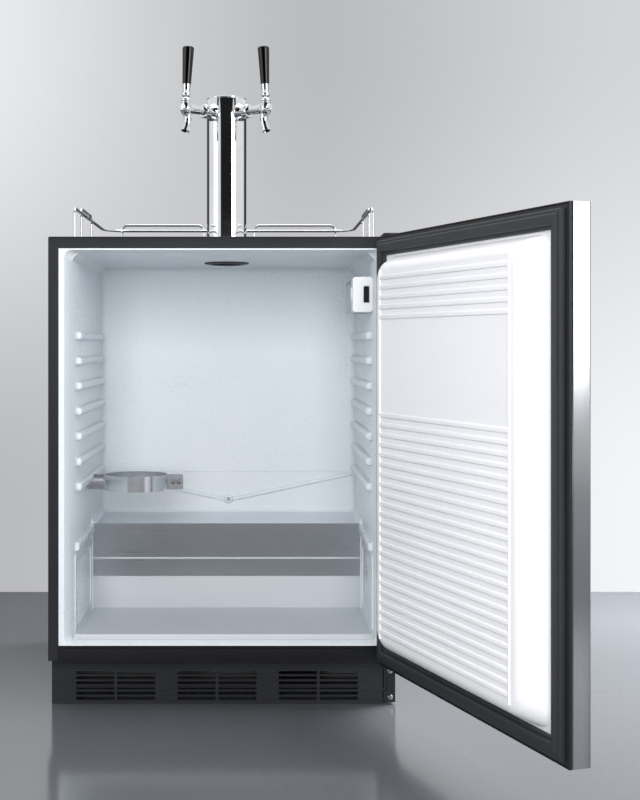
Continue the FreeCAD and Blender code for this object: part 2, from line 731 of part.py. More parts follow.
def make_machine():
    """Compressor, condenser, fan, evaporator, drain and power inlet."""
    deck = size("deck_height") + 2
    roof = bay_roof.value
    bay_y = (bay_front.value + size("cab_depth")) / 2
    shell = 4
    low, high, radius = deck + 14, roof - 42, 74
    outer = [(0, low), (radius - 14, low), (radius, low + 16), (radius, high - 34),
             (radius - 14, high - 8), (radius - 34, high), (0, high)]
    inner = [(0, high - shell), (radius - 36, high - shell), (radius - 18, high - 10),
             (radius - shell, high - 36), (radius - shell, low + 18),
             (radius - 16, low + shell), (0, low + shell)]
    pump = turned(outer + inner)
    foot = Part.makeBox(170, 20, 3, Vector(-85, -10, deck + 11))
    pads = [Part.makeCylinder(9, 11, Vector(x, 0, deck)) for x in (-74, 74)]
    feet = [moved(foot.multiFuse(pads), 0, y) for y in (-34, 34)]
    solid("compressor", pump.multiFuse(feet), (130, bay_y, 0, 0))

    pitch, wire = 22, 3
    coil_wide, coil_rows, side_gap = 132, 8, 18
    x0 = side_gap - half.value
    x1 = x0 + coil_wide
    z0 = deck + 16
    path = []
    for row in range(coil_rows):
        ends = (x0, x1) if row % 2 == 0 else (x1, x0)
        path += [Vector(ends[0], 0, z0 + row * pitch), Vector(ends[1], 0, z0 + row * pitch)]
    coil = bent_wire(path, pitch / 2 - 0.5, wire)
    solid("condenser_coil", coil, (0, depth - 34, 0, 0))

    fan_z = deck + 108
    motor = turned([(0, 0), (24, 0), (26, 3), (26, 34), (20, 38), (4, 38), (4, 40), (0, 40)],
                   Vector(1, 0, 0))
    stand = Part.makeBox(24, 44, fan_z - deck - 10, Vector(5, -22, deck - fan_z))
    shaft = Part.makeCylinder(3, 14, Vector(40, 0, 0), Vector(1, 0, 0))
    solid("fan_motor", motor.multiFuse([stand, shaft]), (-100, bay_y, fan_z, 0))
    hub = turned([(3.06, 0), (15, 0), (15, 13), (12, 16), (3.06, 16)], Vector(1, 0, 0))
    blade = Part.makeBox(1.6, 30, 46, Vector(-0.8, -15, 13))
    blade.rotate(Vector(0, 0, 0), Vector(0, 0, 1), 24)
    blade.translate(Vector(8, 0, 0))
    vanes = []
    for turn in range(5):
        vane = blade.copy()
        vane.rotate(Vector(0, 0, 0), Vector(1, 0, 0), turn * 72)
        vanes.append(vane)
    bore = Part.makeCylinder(3.06, 40, Vector(-10, 0, 0), Vector(1, 0, 0))
    fan = hub.multiFuse(vanes).cut(bore)
    solid("fan_blades", fan, (-58, bay_y, fan_z, 0))

    plate = Piece("evaporator_plate")
    plate.add("XZ", back + wall, back + wall + EVAPORATOR["thick"], rectangle(
        -EVAPORATOR["half"], EVAPORATOR["low"], EVAPORATOR["half"], EVAPORATOR["high"]))

    rear = back.value
    fall = rear + size("liner_wall") + DRAIN["back"]
    inlet_z = DRAIN["height"].value
    outlet_z = roof - 14
    drain_bend = 8
    pipe = bent_wire([Vector(0, rear - 9, inlet_z), Vector(0, fall, inlet_z),
                      Vector(0, fall, outlet_z)], drain_bend, DRAIN["radius"] - 0.2)
    bore = bent_wire([Vector(0, rear - 10, inlet_z), Vector(0, fall, inlet_z),
                      Vector(0, fall, outlet_z - 1)], drain_bend, DRAIN["radius"] - 1.2)
    solid("drain_tube", pipe.cut(bore))

    pan = Piece("drain_pan")
    pan_front, pan_back = depth - 190, depth - 30
    pan_left, pan_right = -20, half - 80
    pan_low, pan_high, pan_wall = roof - 36, roof - 8, 2
    pan.add("XY", pan_low, pan_high, rounded(pan_left, pan_front, pan_right, pan_back, 10))
    pan.cut("XY", pan_low + pan_wall, pan_high, rounded(
        pan_left + pan_wall, pan_front + pan_wall, pan_right - pan_wall, pan_back - pan_wall, 8))

    inlet = Piece("power_inlet")
    side = half - sheet_wall
    inlet.add("XZ", depth - 46, depth - 2, rectangle(side - 40, roof - 70, side, roof - 30))
    inlet.cut("XZ", depth - 20, depth - 2, rectangle(
        side - 34, roof - 60, side - 6, roof - 40))


# ---------------------------------------------------------------- door
def make_door():
    """The door, drawn closed about its hinge axis and then turned open."""
    hinge_x, hinge_y = dim("hinge_x"), dim("hinge_y")
    place = (hinge_x, hinge_y, 0, dim("door_open"))
    left, right = -half - hinge_x, half - hinge_x
    foot, head = dim("door_foot"), dim("door_head")
    face = -dim("door_front") - hinge_y
    shell_back = face + dim("door_thick")
    rim_back = shell_back + dim("door_rim")
    seal_back = rim_back + dim("gasket_thick")
    skin = dim("door_skin")
    bush = dim("hinge_pin") + dim("thread_gap") + dim("bush_wall")
    deep = 18

    def inset(distance):
        """The door's outline, a distance inside its edges."""
        return rectangle(left + distance, foot + distance, right - distance, head - distance)

    shell = Piece("door_skin", place)
    shell.add("XZ", face, shell_back, rounded(left, foot, right, head, 3))
    shell.cut("XZ", face + skin, shell_back, inset(skin))
    shell.cut("XY", foot, head, circle(0, 0, bush))

    rim = Piece("door_inner_frame", place)
    seam = dim("gasket_inset") + dim("gasket_width") / 2
    rim.add("XZ", shell_back, rim_back, rounded(left, foot, right, head, 3))
    rim.cut("XZ", shell_back, rim_back, inset(seam))

    seal = Piece("door_gasket", place)
    edge = dim("gasket_inset")
    seal.add("XZ", rim_back, seal_back, inset(edge))
    seal.cut("XZ", rim_back, seal_back, inset(edge + dim("gasket_width")))

    rise = rim_back + dim("panel_rise")
    panel = half - dim("panel_inset")
    x0, x1 = -hinge_x - panel, panel - hinge_x
    margin = 60
    z0, z1 = foot + margin, head - margin
    shell_wall = 2.5
    liner = Piece("door_liner", place)
    liner.add("XZ", shell_back, rim_back, inset(seam))
    liner.add("XZ", rim_back, rise, rounded(x0, z0, x1, z1, 12))
    liner.cut("XZ", shell_back, rise - shell_wall, rounded(
        x0 + shell_wall, z0 + shell_wall, x1 - shell_wall, z1 - shell_wall, 9))
    rib, pitch = dim("door_rib"), dim("door_rib_pitch")
    ridge = 2.5

    def ridges(z, count):
        """A block of ribs across the panel, upwards from z."""
        bar = liner.add("YZ", x0 + 14, x1 - 14, polygon(
            (rise - 1, z), (rise, z), (rise + ridge, z + rib / 3),
            (rise + ridge, z + rib * 2 / 3), (rise, z + rib), (rise - 1, z + rib)))
        liner.repeat([bar], "Z", pitch, count)

    upper = 5
    lower = 23
    ridges(z1 - pitch * upper - 3, upper)
    ridges(z0 + 12, lower)

    foam = Piece("door_foam", place)
    foam.add("XZ", face + skin, shell_back, inset(skin))
    foam.add("XZ", shell_back - 1, rise - shell_wall, rounded(
        x0 + shell_wall, z0 + shell_wall, x1 - shell_wall, z1 - shell_wall, 9))
    foam.cut("XY", foot, foot + deep, circle(0, 0, bush))
    foam.cut("XY", head - deep, head, circle(0, 0, bush))

    pin = size("hinge_pin") + size("thread_gap")
    ring = turned([(pin, 0), (bush.value, 0), (bush.value, deep), (pin, deep)])
    pair = [moved(ring, z=foot.value), moved(ring, z=head.value - deep)]
    solid("door_bushes", Part.makeCompound(pair), place)


def make_hinges():
    """Upper and lower hinge brackets with their pins, and the screws."""
    x, y, pin = dim("hinge_x"), dim("hinge_y"), dim("hinge_pin")
    plate = dim("hinge_plate")
    kick_face = dim("kick_back") - dim("kick_wall") / 2
    low = dim("door_foot")
    deep = 15
    edge = dim("kick_right") + 2

    under = Piece("hinge_bracket_lower")
    arm_top = low - 1.5
    under.add("XZ", kick_face, kick_face + 3, rectangle(edge, 3, half, arm_top))
    under.add("XY", arm_top - plate, arm_top, rounded(edge, y - 12, half, kick_face + 3, 4))
    under.add("XY", arm_top - 1, low + deep, circle(x, y, pin))
    under.cut("XZ", kick_face, kick_face + 3, *[
        circle(half - 9, z, HINGE_SCREW) for z in LOWER_SCREW_Z])
    under.cut("XZ", kick_face, kick_face + 3, rectangle(edge, 22, edge + 6, 46))

    over = Piece("hinge_plate_upper")
    over.add("XY", top, top + plate, rounded(x - 14, y - 11, half - 1, 56, 5))
    over.add("XY", dim("door_head") - deep, top + 1, circle(x, y, pin))
    over.cut("XY", top, top + plate, *[circle(x, sy, HINGE_SCREW) for sy in HINGE_SCREW_Y])

    grip = HINGE_SCREW - 0.05
    long = SCREW_DEEP + plate.value
    head = turned([(0, -long + 1), (grip, -long + 1), (grip, 0), (4.6, 0), (4.2, 1.6),
                   (2.4, 2.3), (0, 2.3)])
    tops = [moved(head, x.value, sy, (top + plate).value) for sy in HINGE_SCREW_Y]
    front = turned([(0, -8), (grip, -8), (grip, 0), (5, 0), (4.6, 1.8), (2.6, 2.5), (0, 2.5)],
                   Vector(0, -1, 0))
    fronts = [moved(front, half.value - 9, kick_face.value, z) for z in LOWER_SCREW_Z]
    solid("hinge_screws", Part.makeCompound(tops + fronts))


# ---------------------------------------------------------------- guard rail
def make_rail():
    """The wire guard round the top and its raised loops."""
    wire = size("wire")
    base, tall = size("cab_top"), size("cab_top") + size("rail_tall")
    x, front, rear = size("rail_half"), size("rail_front"), size("rail_back")
    bend, corner = size("loop_bend"), size("rail_bend")
    join = rear - corner - 8
    sides = []
    for side in (-1, 1):
        points = [Vector(side * x, front, base), Vector(side * x, front, tall),
                  Vector(side * x, join, tall)]
        sides.append(bent_wire(points, bend, wire))
    solid("guard_rail_sides", Part.makeCompound(sides))
    points = [Vector(-x, join, tall), Vector(-x, rear, tall), Vector(x, rear, tall),
              Vector(x, join, tall)]
    solid("guard_rail_back", bent_wire(points, corner, wire))

    high = base + size("loop_tall")
    loops = []
    out = x + 2 * wire
    near = size("loop_front")
    far = near + size("loop_side")
    behind = rear + 2 * wire
    outer = x - size("loop_corner")
    inner = outer - size("loop_rear")
    for side in (-1, 1):
        loops.append([Vector(side * out, near, base), Vector(side * out, near, high),
                      Vector(side * out, far, high), Vector(side * out, far, base)])
        loops.append([Vector(side * inner, behind, base), Vector(side * inner, behind, high),
                      Vector(side * outer, behind, high), Vector(side * outer, behind, base)])
    solid("guard_loops", Part.makeCompound([bent_wire(points, bend, wire) for points in loops]))


# ---------------------------------------------------------------- tower and taps
TAP_TURNS = {"left": 225, "right": 315}


def make_tower():
    """The column with its cap and foam sleeve. The taps stand square to each other."""
    radius, thick = dim("tower_radius"), dim("tower_wall")
    tall = top + dim("tower_tall")
    axis = top + dim("tap_height")
    place = (0, tower_y, 0, 45)
    hole = dim("shank") + dim("thread_gap")
    column = Piece("tower_column", place)
    column.turn(rectangle(radius - thick, top, radius, tall))
    column.cut("YZ", -radius - 1, 0, circle(0, axis, hole))
    column.cut("XZ", -radius - 1, 0, circle(0, axis, hole))

    sleeve = Piece("tower_foam", place)
    clear = 22
    sleeve.turn(rectangle(dim("line_bore"), top, radius - thick, axis - clear))

    r, w, z = radius.value, thick.value, tall.value
    rise = size("cap_rise")
    ball = (r * r + rise * rise) / (2 * rise)
    dome = Part.makeSphere(ball, Vector(0, 0, z + 2 + rise - ball))
    disc = Part.makeCylinder(r, rise + 2, Vector(0, 0, z))
    plug = Part.makeCylinder(r - w - 0.05, 8, Vector(0, 0, z - 8))
    hollow = Part.makeCylinder(r - w - 2, 8, Vector(0, 0, z - 8))
    cap = disc.common(dome).fuse(plug.cut(hollow))
    solid("tower_cap", cap.removeSplitter(), (0, tower_y, 0, 0))


def make_taps():
    """Shanks, nuts, bodies, bonnets, levers, shafts and handles of both taps."""
    radius = size("tower_radius")
    shank = size("shank")
    pivot_x, pivot_z = size("tap_reach"), size("lever_rise")
    shaft_z, shaft = size("shaft_rise"), size("shaft")
    gap = size("thread_gap")
    height = top + dim("tap_height")
    along = Vector(1, 0, 0)
    flange_end = radius + 9
    nut = flange_end + 2
    tail = nut + 8

    tube = Part.makeCylinder(shank, tail - 22, Vector(22, 0, 0), along)
    cone = Part.makeCone(17, 12.5, flange_end - radius + 5, Vector(radius - 5, 0, 0), along)
    cone = cone.cut(Part.makeCylinder(radius, 60, Vector(0, 0, -30)))
    bore = Part.makeCylinder(4, tail, Vector(20, 0, 0), along)
    shanks = tube.fuse(cone).cut(bore)

    hexagon = [Vector(0, 15.5 * math.cos(i * math.pi / 3), 15.5 * math.sin(i * math.pi / 3))
               for i in range(6)]
    lock = Part.Face(Part.makePolygon(hexagon + hexagon[:1])).extrude(Vector(7, 0, 0))
    lock.translate(Vector(24, 0, 0))
    lock = lock.cut(Part.makeCylinder(shank, 20, Vector(20, 0, 0), along))

    collar = turned([(shank + 0.1, nut), (12.3, nut), (13.4, nut + 1.5), (13.4, nut + 11.5),
                     (12.3, nut + 13), (8.3, nut + 13), (8.3, nut + 10.5),
                     (shank + 0.1, nut + 10.5)], along)
    notches = []
    for turn in range(6):
        notch = Part.makeCylinder(1.8, 16, Vector(nut - 1, 0, 14.2), along)
        notch.rotate(Vector(0, 0, 0), along, turn * 60)
        notches.append(notch)
    collar = collar.cut(Part.makeCompound(notches))

    barrel = turned([(0, tail), (shank, tail), (shank, nut + 10.4), (8.2, nut + 10.4),
                     (7.4, nut + 14), (8.9, pivot_x - 10), (8.9, pivot_x), (0, pivot_x)], along)
    seat = turned([(0, -10), (8, -10), (10.5, -6), (10.5, 4), (9.2, 8), (9.2, pivot_z - 6),
                   (0, pivot_z - 6)])
    seat.translate(Vector(pivot_x, 0, 0))
    nose = turned([(0, pivot_x), (7, pivot_x), (6.8, pivot_x + 12), (5.8, pivot_x + 13.2),
                   (0, pivot_x + 13.2)], along)
    nose.translate(Vector(0, 0, shaft_z))
    start, bulge = Vector(pivot_x + 1, 0, -3), Vector(pivot_x - 5, 0, -20)
    end = Vector(pivot_x + 1.5, 0, -42)
    curve = Part.Arc(start, bulge, end)
    direction = curve.tangent(curve.FirstParameter)[0]
    path = Part.Wire([curve.toShape()])

    def spout_tube(tube_radius):
        """A round tube of one radius along the spout's curve."""
        ring = Part.Wire([Part.makeCircle(tube_radius, start, direction)])
        return path.makePipeShell([ring], True, False)

    chamber = Part.makeBox(14, 5.6, 16, Vector(pivot_x - 10, -2.8, shaft_z - 1))
    well = Part.makeCylinder(6.5, pivot_z, Vector(pivot_x, 0, pivot_z - 11))
    passage = Part.makeCylinder(shaft + 0.05, pivot_x + 11 - tail, Vector(tail, 0, shaft_z), along)
    joined = barrel.multiFuse([seat, nose, spout_tube(7.4)])
    tap = joined.cut(Part.makeCompound([chamber])).cut(well).cut(passage)
    tap = tap.cut(spout_tube(4.4))

    bonnet = turned([(6.6, pivot_z - 6), (9, pivot_z - 6), (9, pivot_z + 1.5),
                     (7.4, pivot_z + 3.6), (6.6, pivot_z + 3.6)])
    bonnet.translate(Vector(pivot_x, 0, 0))

    stem_low = shaft_z - pivot_z
    ring = 7
    lever = turned([(0, stem_low), (2.2, stem_low), (2.2, 0), (3, 0), (3, ring), (7, ring),
                    (7.6, ring + 1.2), (7.6, ring + 6), (6, ring + 7.6), (6.2, ring + 8.6),
                    (7.6, ring + 23), (0, ring + 23)])
    lever = lever.fuse(Part.makeSphere(5.5))
    handle_low = ring + 23
    long = size("handle_long")
    handle = turned([(0, handle_low), (8, handle_low), (11, handle_low + long - 2),
                     (9.4, handle_low + long), (0, handle_low + long)])
    tilt = -size("handle_lean")
    for piece in (lever, handle):
        piece.rotate(Vector(0, 0, 0), Vector(0, 1, 0), tilt)
        piece.translate(Vector(pivot_x, 0, pivot_z))

    rod_start, rod_end = tail + 16, pivot_x + 8
    rod = Part.makeCylinder(shaft, rod_end - rod_start, Vector(rod_start, 0, shaft_z), along)
    slot_long, slot_wide, slot_depth = 9.8, 5.2, 1.8
    slot = Part.makeBox(slot_long, slot_wide, 8, Vector(
        pivot_x - slot_long / 2, -slot_wide / 2, shaft_z - slot_depth))
    rod = rod.cut(slot)

    groups = {"tap_shanks": shanks, "shank_nuts": lock, "coupling_nuts": collar,
              "tap_bonnets": bonnet}
    for name, shape in groups.items():
        both = [moved(shape, turn=turn) for turn in TAP_TURNS.values()]
        solid(name, Part.makeCompound(both), (0, tower_y, height, 0))
    for side, turn in TAP_TURNS.items():
        place = (0, tower_y, height, turn)
        solid(f"tap_body_{side}", tap, place)
        solid(f"tap_lever_{side}", lever, place)
        solid(f"tap_handle_{side}", handle, place)
        solid(f"tap_shaft_{side}", rod, place)


def make_drip_tray():
    """The loose drip tray in front of the tower, and its grate."""
    edge = dim("drip_half")
    front = dim("drip_front")
    rear = tower_y - dim("tower_radius") - dim("drip_gap")
    high = top + dim("drip_tall")
    tray = Piece("drip_tray")
    tray.add("XY", top, high, rounded(-edge, front, edge, rear, 10))
    rim, ledge, grate = 2, 3, 1.2
    inner = rim + ledge
    tray.cut("XY", high - 2, high, rounded(
        rim - edge, front + rim, edge - rim, rear - rim, 8))
    tray.cut("XY", top + 1, high - 2, rounded(
        inner - edge, front + inner, edge - inner, rear - inner, 5))
    play = 0.4
    grid = Piece("drip_grate")
    side = rim + play
    grid.add("XY", high - 2, high - 2 + grate, rounded(
        side - edge, front + side, edge - side, rear - side, 7.6))
    bar, pitch, count = 5, 12, 14
    start = -pitch * (count - 1) / 2
    slot = grid.cut("XY", high - 2, high - 2 + grate, rounded(
        start - bar / 2, front + 12, start + bar / 2, rear - 12, 2))
    grid.repeat([slot], "X", pitch, count)


make_cabinet()
make_liner()
make_steel_covers()
make_line_bush()
make_lamp()
make_clamp()
make_base()
make_machine()
make_door()
make_hinges()
make_rail()
make_tower()
make_taps()
make_drip_tray()
doc.recompute()

for thing in doc.Objects:
    if "Invalid" in thing.State or "Error" in thing.State:
        raise RuntimeError(f"{thing.Label} failed to rebuild: {thing.State}")
for thing in made:
    if thing.Shape.isNull() or not thing.Shape.isValid():
        raise RuntimeError(f"{thing.Label} has no valid shape")
os.makedirs("parts", exist_ok=True)
for thing in made:
    thing.Shape.exportStep(f"parts/{thing.Label}.step")
print(f"{len(made)} sub-parts written")
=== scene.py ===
"""The looks of a two-tap beer cooler: its pieces, finishes, camera, floor and light."""

from __future__ import annotations

import logging
import math
from dataclasses import dataclass
from enum import Enum
from typing import Callable, Iterable, Sequence

import bpy
from mathutils import Matrix, Vector


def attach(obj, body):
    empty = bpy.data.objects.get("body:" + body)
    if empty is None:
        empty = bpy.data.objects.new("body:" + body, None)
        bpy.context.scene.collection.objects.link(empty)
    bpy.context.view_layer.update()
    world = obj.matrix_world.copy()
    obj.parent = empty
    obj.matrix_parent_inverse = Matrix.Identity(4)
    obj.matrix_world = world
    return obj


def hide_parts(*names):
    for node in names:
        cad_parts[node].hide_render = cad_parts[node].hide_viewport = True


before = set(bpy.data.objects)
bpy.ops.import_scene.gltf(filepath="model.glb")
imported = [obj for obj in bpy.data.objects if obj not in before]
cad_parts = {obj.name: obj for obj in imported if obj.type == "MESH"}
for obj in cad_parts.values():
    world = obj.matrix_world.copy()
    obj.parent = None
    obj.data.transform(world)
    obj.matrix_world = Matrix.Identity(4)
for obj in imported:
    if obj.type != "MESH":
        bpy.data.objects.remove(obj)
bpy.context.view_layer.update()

LOG = logging.getLogger("beer_cooler")
MM = 0.001
Point = Sequence[float]
Piece = bpy.types.Object


# ------------------------------------------------------------------ colour and nodes
def linear(code: str) -> tuple[float, float, float, float]:
    """Turns an sRGB hex colour into linear light.

    Args:
        code: Six hex digits.

    Returns:
        Red, green, blue and an alpha of one.
    """
    shares = [int(code[i : i + 2], 16) / 255 for i in (0, 2, 4)]
    light = [s / 12.92 if s <= 0.04045 else ((s + 0.055) / 1.055) ** 2.4 for s in shares]
    return (light[0], light[1], light[2], 1.0)


def add_node(
    tree: bpy.types.NodeTree,
    kind: str,
    values: dict[str | int, object] | None = None,
    links: dict[str | int, bpy.types.NodeSocket] | None = None,
    **settings: object,
) -> bpy.types.Node:
    """Adds a node with its settings, socket values and links.

    Args:
        tree: The node tree to add to.
        kind: The node's type name.
        values: Socket values by name or place.
        links: Sockets that feed this node, by name or place.
        **settings: Properties of the node itself.

    Returns:
        The new node.
    """
    node = tree.nodes.new(kind)
    for key, value in settings.items():
        setattr(node, key, value)
    for key, value in (values or {}).items():
        node.inputs[key].default_value = value
    for key, socket in (links or {}).items():
        tree.links.new(socket, node.inputs[key])
    return node


@dataclass(frozen=True)
class Finish:
    """A surface with a base colour, a grain and a roughness that follow one noise pattern.

    The grain is the size of the pattern in millimetres along X, Y and Z, so unequal values draw it
    out into brush lines. The relief is the height of the bump in millimetres.
    """

    name: str
    colour: str
    colour_alt: str
    roughness: tuple[float, float] = (0.35, 0.45)
    metallic: float = 0.0
    grain: tuple[float, float, float] = (1.0, 1.0, 1.0)
    relief: float = 0.02
    cloud: float = 120.0
    coat: float = 0.0
    coat_roughness: float = 0.05
    ior: float = 1.5
    anisotropy: float = 0.0
    transmission: float = 0.0
    detail: float = 4.0

    def material(self) -> bpy.types.Material:
        """Makes the material, or finds it where it has been made.

        Returns:
            The material with its node tree.
        """
        found = bpy.data.materials.get(self.name)
        if found is not None:
            return found
        material = bpy.data.materials.new(self.name)
        material.use_nodes = True
        tree = material.node_tree
        tree.nodes.clear()
        output = add_node(tree, "ShaderNodeOutputMaterial")
        place = add_node(tree, "ShaderNodeTexCoord")
        scale = tuple(1000.0 / size for size in self.grain)
        fine_place = add_node(
            tree, "ShaderNodeMapping", {"Scale": scale}, {"Vector": place.outputs["Object"]}
        )
        fine = add_node(
            tree, "ShaderNodeTexNoise", {"Scale": 1.0, "Detail": self.detail, "Roughness": 0.6},
            {"Vector": fine_place.outputs["Vector"]},
        )
        cloud = add_node(
            tree, "ShaderNodeTexNoise", {"Scale": 1000.0 / self.cloud, "Detail": 3.0},
            {"Vector": place.outputs["Object"]},
        )
        blend = add_node(
            tree, "ShaderNodeMix", {"Factor": 0.5}, {2: fine.outputs["Fac"], 3: cloud.outputs["Fac"]},
            data_type="FLOAT",
        )
        spread = add_node(
            tree, "ShaderNodeMapRange", {"From Min": 0.35, "From Max": 0.65},
            {"Value": blend.outputs[0]},
        )
        colour = add_node(
            tree, "ShaderNodeMix", {6: linear(self.colour), 7: linear(self.colour_alt)},
            {"Factor": spread.outputs["Result"]}, data_type="RGBA",
        )
        rough = add_node(
            tree, "ShaderNodeMapRange",
            {"From Min": 0.35, "From Max": 0.65, "To Min": self.roughness[0],
             "To Max": self.roughness[1]},
            {"Value": blend.outputs[0]},
        )
        bump = add_node(
            tree, "ShaderNodeBump", {"Strength": 0.6, "Distance": self.relief * MM},
            {"Height": fine.outputs["Fac"]},
        )
        shader = add_node(
            tree, "ShaderNodeBsdfPrincipled",
            {"Metallic": self.metallic, "IOR": self.ior, "Coat Weight": self.coat,
             "Coat Roughness": self.coat_roughness, "Anisotropic": self.anisotropy,
             "Transmission Weight": self.transmission},
            {"Base Color": colour.outputs[2], "Roughness": rough.outputs["Result"],
             "Normal": bump.outputs["Normal"]},
        )
        tree.links.new(shader.outputs["BSDF"], output.inputs["Surface"])
        return material


class Finishes(Enum):
    """Every finish on the cooler, named for the real stuff; some carry painted light as well."""

    # Powder coat on pressed steel: a soft sheen over a fine orange peel.
    POWDER_COAT = Finish("powder coated steel", "222325", "2A2B2E", (0.34, 0.46), grain=(1.4, 1.4, 1.4),
                         relief=0.05)
    # The same coat on the frame and the back, rubbed a little smoother, and a touch paler: the paler tone is
    # painted light.
    FRAME_COAT = Finish("satin frame coat with painted light", "242528", "2C2D30", (0.3, 0.4), grain=(1.2, 1.2, 1.2),
                        relief=0.03)
    # Moulded polypropylene: matte with a faint spark-eroded texture.
    BLACK_PLASTIC = Finish("moulded black polypropylene", "141416", "1B1B1E", (0.42, 0.56),
                           grain=(0.8, 0.8, 0.8), relief=0.04)
    # Vacuum formed polystyrene: smooth, slightly glossy, with broad soft unevenness.
    LINER_WHITE = Finish("vacuum formed polystyrene", "DDE3E8", "E6EBEF", (0.26, 0.36),
                         grain=(6.0, 6.0, 6.0), relief=0.03, cloud=260.0)
    # The same sheet in the door, a shade whiter: the whiter tone is painted light.
    DOOR_WHITE = Finish("door liner polystyrene with painted light", "EDEDF0", "F1F1F4", (0.3, 0.4),
                        grain=(6.0, 6.0, 6.0), relief=0.03, cloud=260.0)
    # Stainless sheet with a long brush line that runs across the cooler.
    BRUSHED_X = Finish("brushed stainless sheet", "D9DCE0", "E2E5E8", (0.26, 0.36), 1.0,
                       (240.0, 0.7, 0.7), 0.012, 300.0, anisotropy=0.4)
    # The lower sheets, with a dull satin face: stainless given a pale diffuse share and little metal, which
    # is painted reflection.
    SATIN_X = Finish("satin stainless sheet with painted reflection", "D8DCE1", "E0E4E8", (0.34, 0.44), 0.32,
                     (240.0, 0.7, 0.7), 0.012, 300.0)
    # Door steel, brushed along its height.
    BRUSHED_Z = Finish("brushed door steel", "A8AAAD", "B2B4B7", (0.18, 0.26), 1.0,
                       (0.7, 0.7, 260.0), 0.012, 300.0, anisotropy=0.3)
    # Rolled strip, brushed round the hoop.
    BRUSHED_BAND = Finish("rolled stainless strip", "D6D9DD", "DEE1E5", (0.12, 0.18), 0.82,
                          (30.0, 30.0, 0.8), 0.01, 90.0, anisotropy=0.3)
    # Bright plate on the tower, the taps and the wires.
    CHROME = Finish("polished chrome plate", "E4E6E8", "EFF0F1", (0.03, 0.07), 1.0,
                    (18.0, 18.0, 18.0), 0.002, 60.0)
    # The kick grille's fluted plastic, paler than the rail above it: the paler tone is painted highlight.
    KICK_PLASTIC = Finish("fluted black polypropylene with painted highlight", "26272A", "2E2F32", (0.28, 0.38),
                          grain=(1.6, 1.6, 1.6), relief=0.03)
    # Soft vinyl with a dull skin.
    GASKET = Finish("magnetic door gasket vinyl", "26292C", "303336", (0.5, 0.62), grain=(1.6, 1.6, 1.6),
                    relief=0.04)
    # Moulded handles, polished.
    HANDLE_BLACK = Finish("glossy black phenolic", "010102", "030304", (0.05, 0.08),
                          grain=(10.0, 10.0, 10.0), relief=0.0)
    # Dull grey foam.
    FOAM = Finish("rigid polyurethane foam", "3C3C3A", "474744", (0.8, 0.9), grain=(1.2, 1.2, 1.2),
                  relief=0.3)
    # Zinc spangle on the condenser tubes.
    GALVANISED = Finish("galvanised steel", "8E9194", "A6A9AC", (0.3, 0.5), 1.0, (14.0, 14.0, 14.0),
                        0.01, 40.0)
    # Fasteners.
    ZINC = Finish("zinc plated screw steel", "C4C6C8", "D6D8DA", (0.18, 0.28), 1.0, (2.0, 2.0, 2.0),
                  0.01)
    # Baked enamel on the compressor and the motor.
    MACHINE_BLACK = Finish("stove enamelled compressor steel", "141415", "1E1E20", (0.3, 0.45),
                           grain=(2.0, 2.0, 2.0), relief=0.06)
    # The evaporator plate.
    ALUMINIUM = Finish("roll bond aluminium", "B9BBBD", "C8CACC", (0.3, 0.42), 1.0, (3.0, 3.0, 3.0), 0.02)
    # The valve shafts.
    BRASS = Finish("turned brass", "B08D4A", "C6A25C", (0.2, 0.32), 1.0, (1.0, 1.0, 1.0), 0.01)
    # The control box and its dial.
    WHITE_PLASTIC = Finish("moulded white polystyrene", "E9ECEF", "F1F3F5", (0.28, 0.38),
                           grain=(3.0, 3.0, 3.0), relief=0.02)
    # The lamp cover, which lets light through.
    LENS = Finish("frosted acrylic lens", "F2F6F8", "FAFCFD", (0.25, 0.4), grain=(2.0, 2.0, 2.0),
                  relief=0.02, transmission=0.55, ior=1.49)
    # The lamp.
    BULB = Finish("pearl lamp glass", "F4F2EA", "FBFAF5", (0.2, 0.3), grain=(4.0, 4.0, 4.0),
                  relief=0.01, transmission=0.3)
    # Smooth floor that mirrors softly.
    FLOOR = Finish("polished grey floor", "5C5F63", "63666A", (0.1, 0.15), grain=(9.0, 9.0, 9.0),
                   relief=0.02, cloud=900.0)


# ------------------------------------------------------------------ the bench: shaping with operators
def focus(piece: Piece) -> None:
    """Makes one piece the only selected and the active object."""
    bpy.ops.object.select_all(action="DESELECT")
    piece.select_set(True)
    bpy.context.view_layer.objects.active = piece


def name_piece(piece: Piece, name: str) -> Piece:
    """Names a piece and its mesh."""
    piece.name = name
    piece.data.name = name
    return piece


def block(name: str, low: Point, high: Point) -> Piece:
    """A box between two corners.

    Args:
        name: The piece's name.
        low: The lowest corner, in metres.
        high: The highest corner, in metres.

    Returns:
        The piece, with its place in its mesh.
    """
    bpy.ops.object.select_all(action="DESELECT")
    a, b = Vector(low), Vector(high)
    bpy.ops.mesh.primitive_cube_add(size=1, location=(a + b) / 2)
    piece = bpy.context.object
    piece.scale = b - a
    bpy.ops.object.transform_apply(location=True, rotation=True, scale=True)
    return name_piece(piece, name)


def modify(piece: Piece, kind: str, **settings: object) -> Piece:
    """Adds a modifier with settings and applies it.

    Args:
        piece: The piece to change.
        kind: The modifier's type.
        **settings: Properties of the modifier.

    Returns:
        The same piece.
    """
    focus(piece)
    modifier = piece.modifiers.new(kind.title(), kind)
    for key, value in settings.items():
        setattr(modifier, key, value)
    bpy.ops.object.modifier_apply(modifier=modifier.name)
    return piece


def round_edges(piece: Piece, width: float, segments: int = 3, angle: float = 30.0) -> Piece:
    """Bevels every edge sharper than an angle, by a width in metres."""
    return modify(
        piece, "BEVEL", width=width, segments=segments, limit_method="ANGLE",
        angle_limit=math.radians(angle), use_clamp_overlap=True, miter_outer="MITER_ARC",
    )


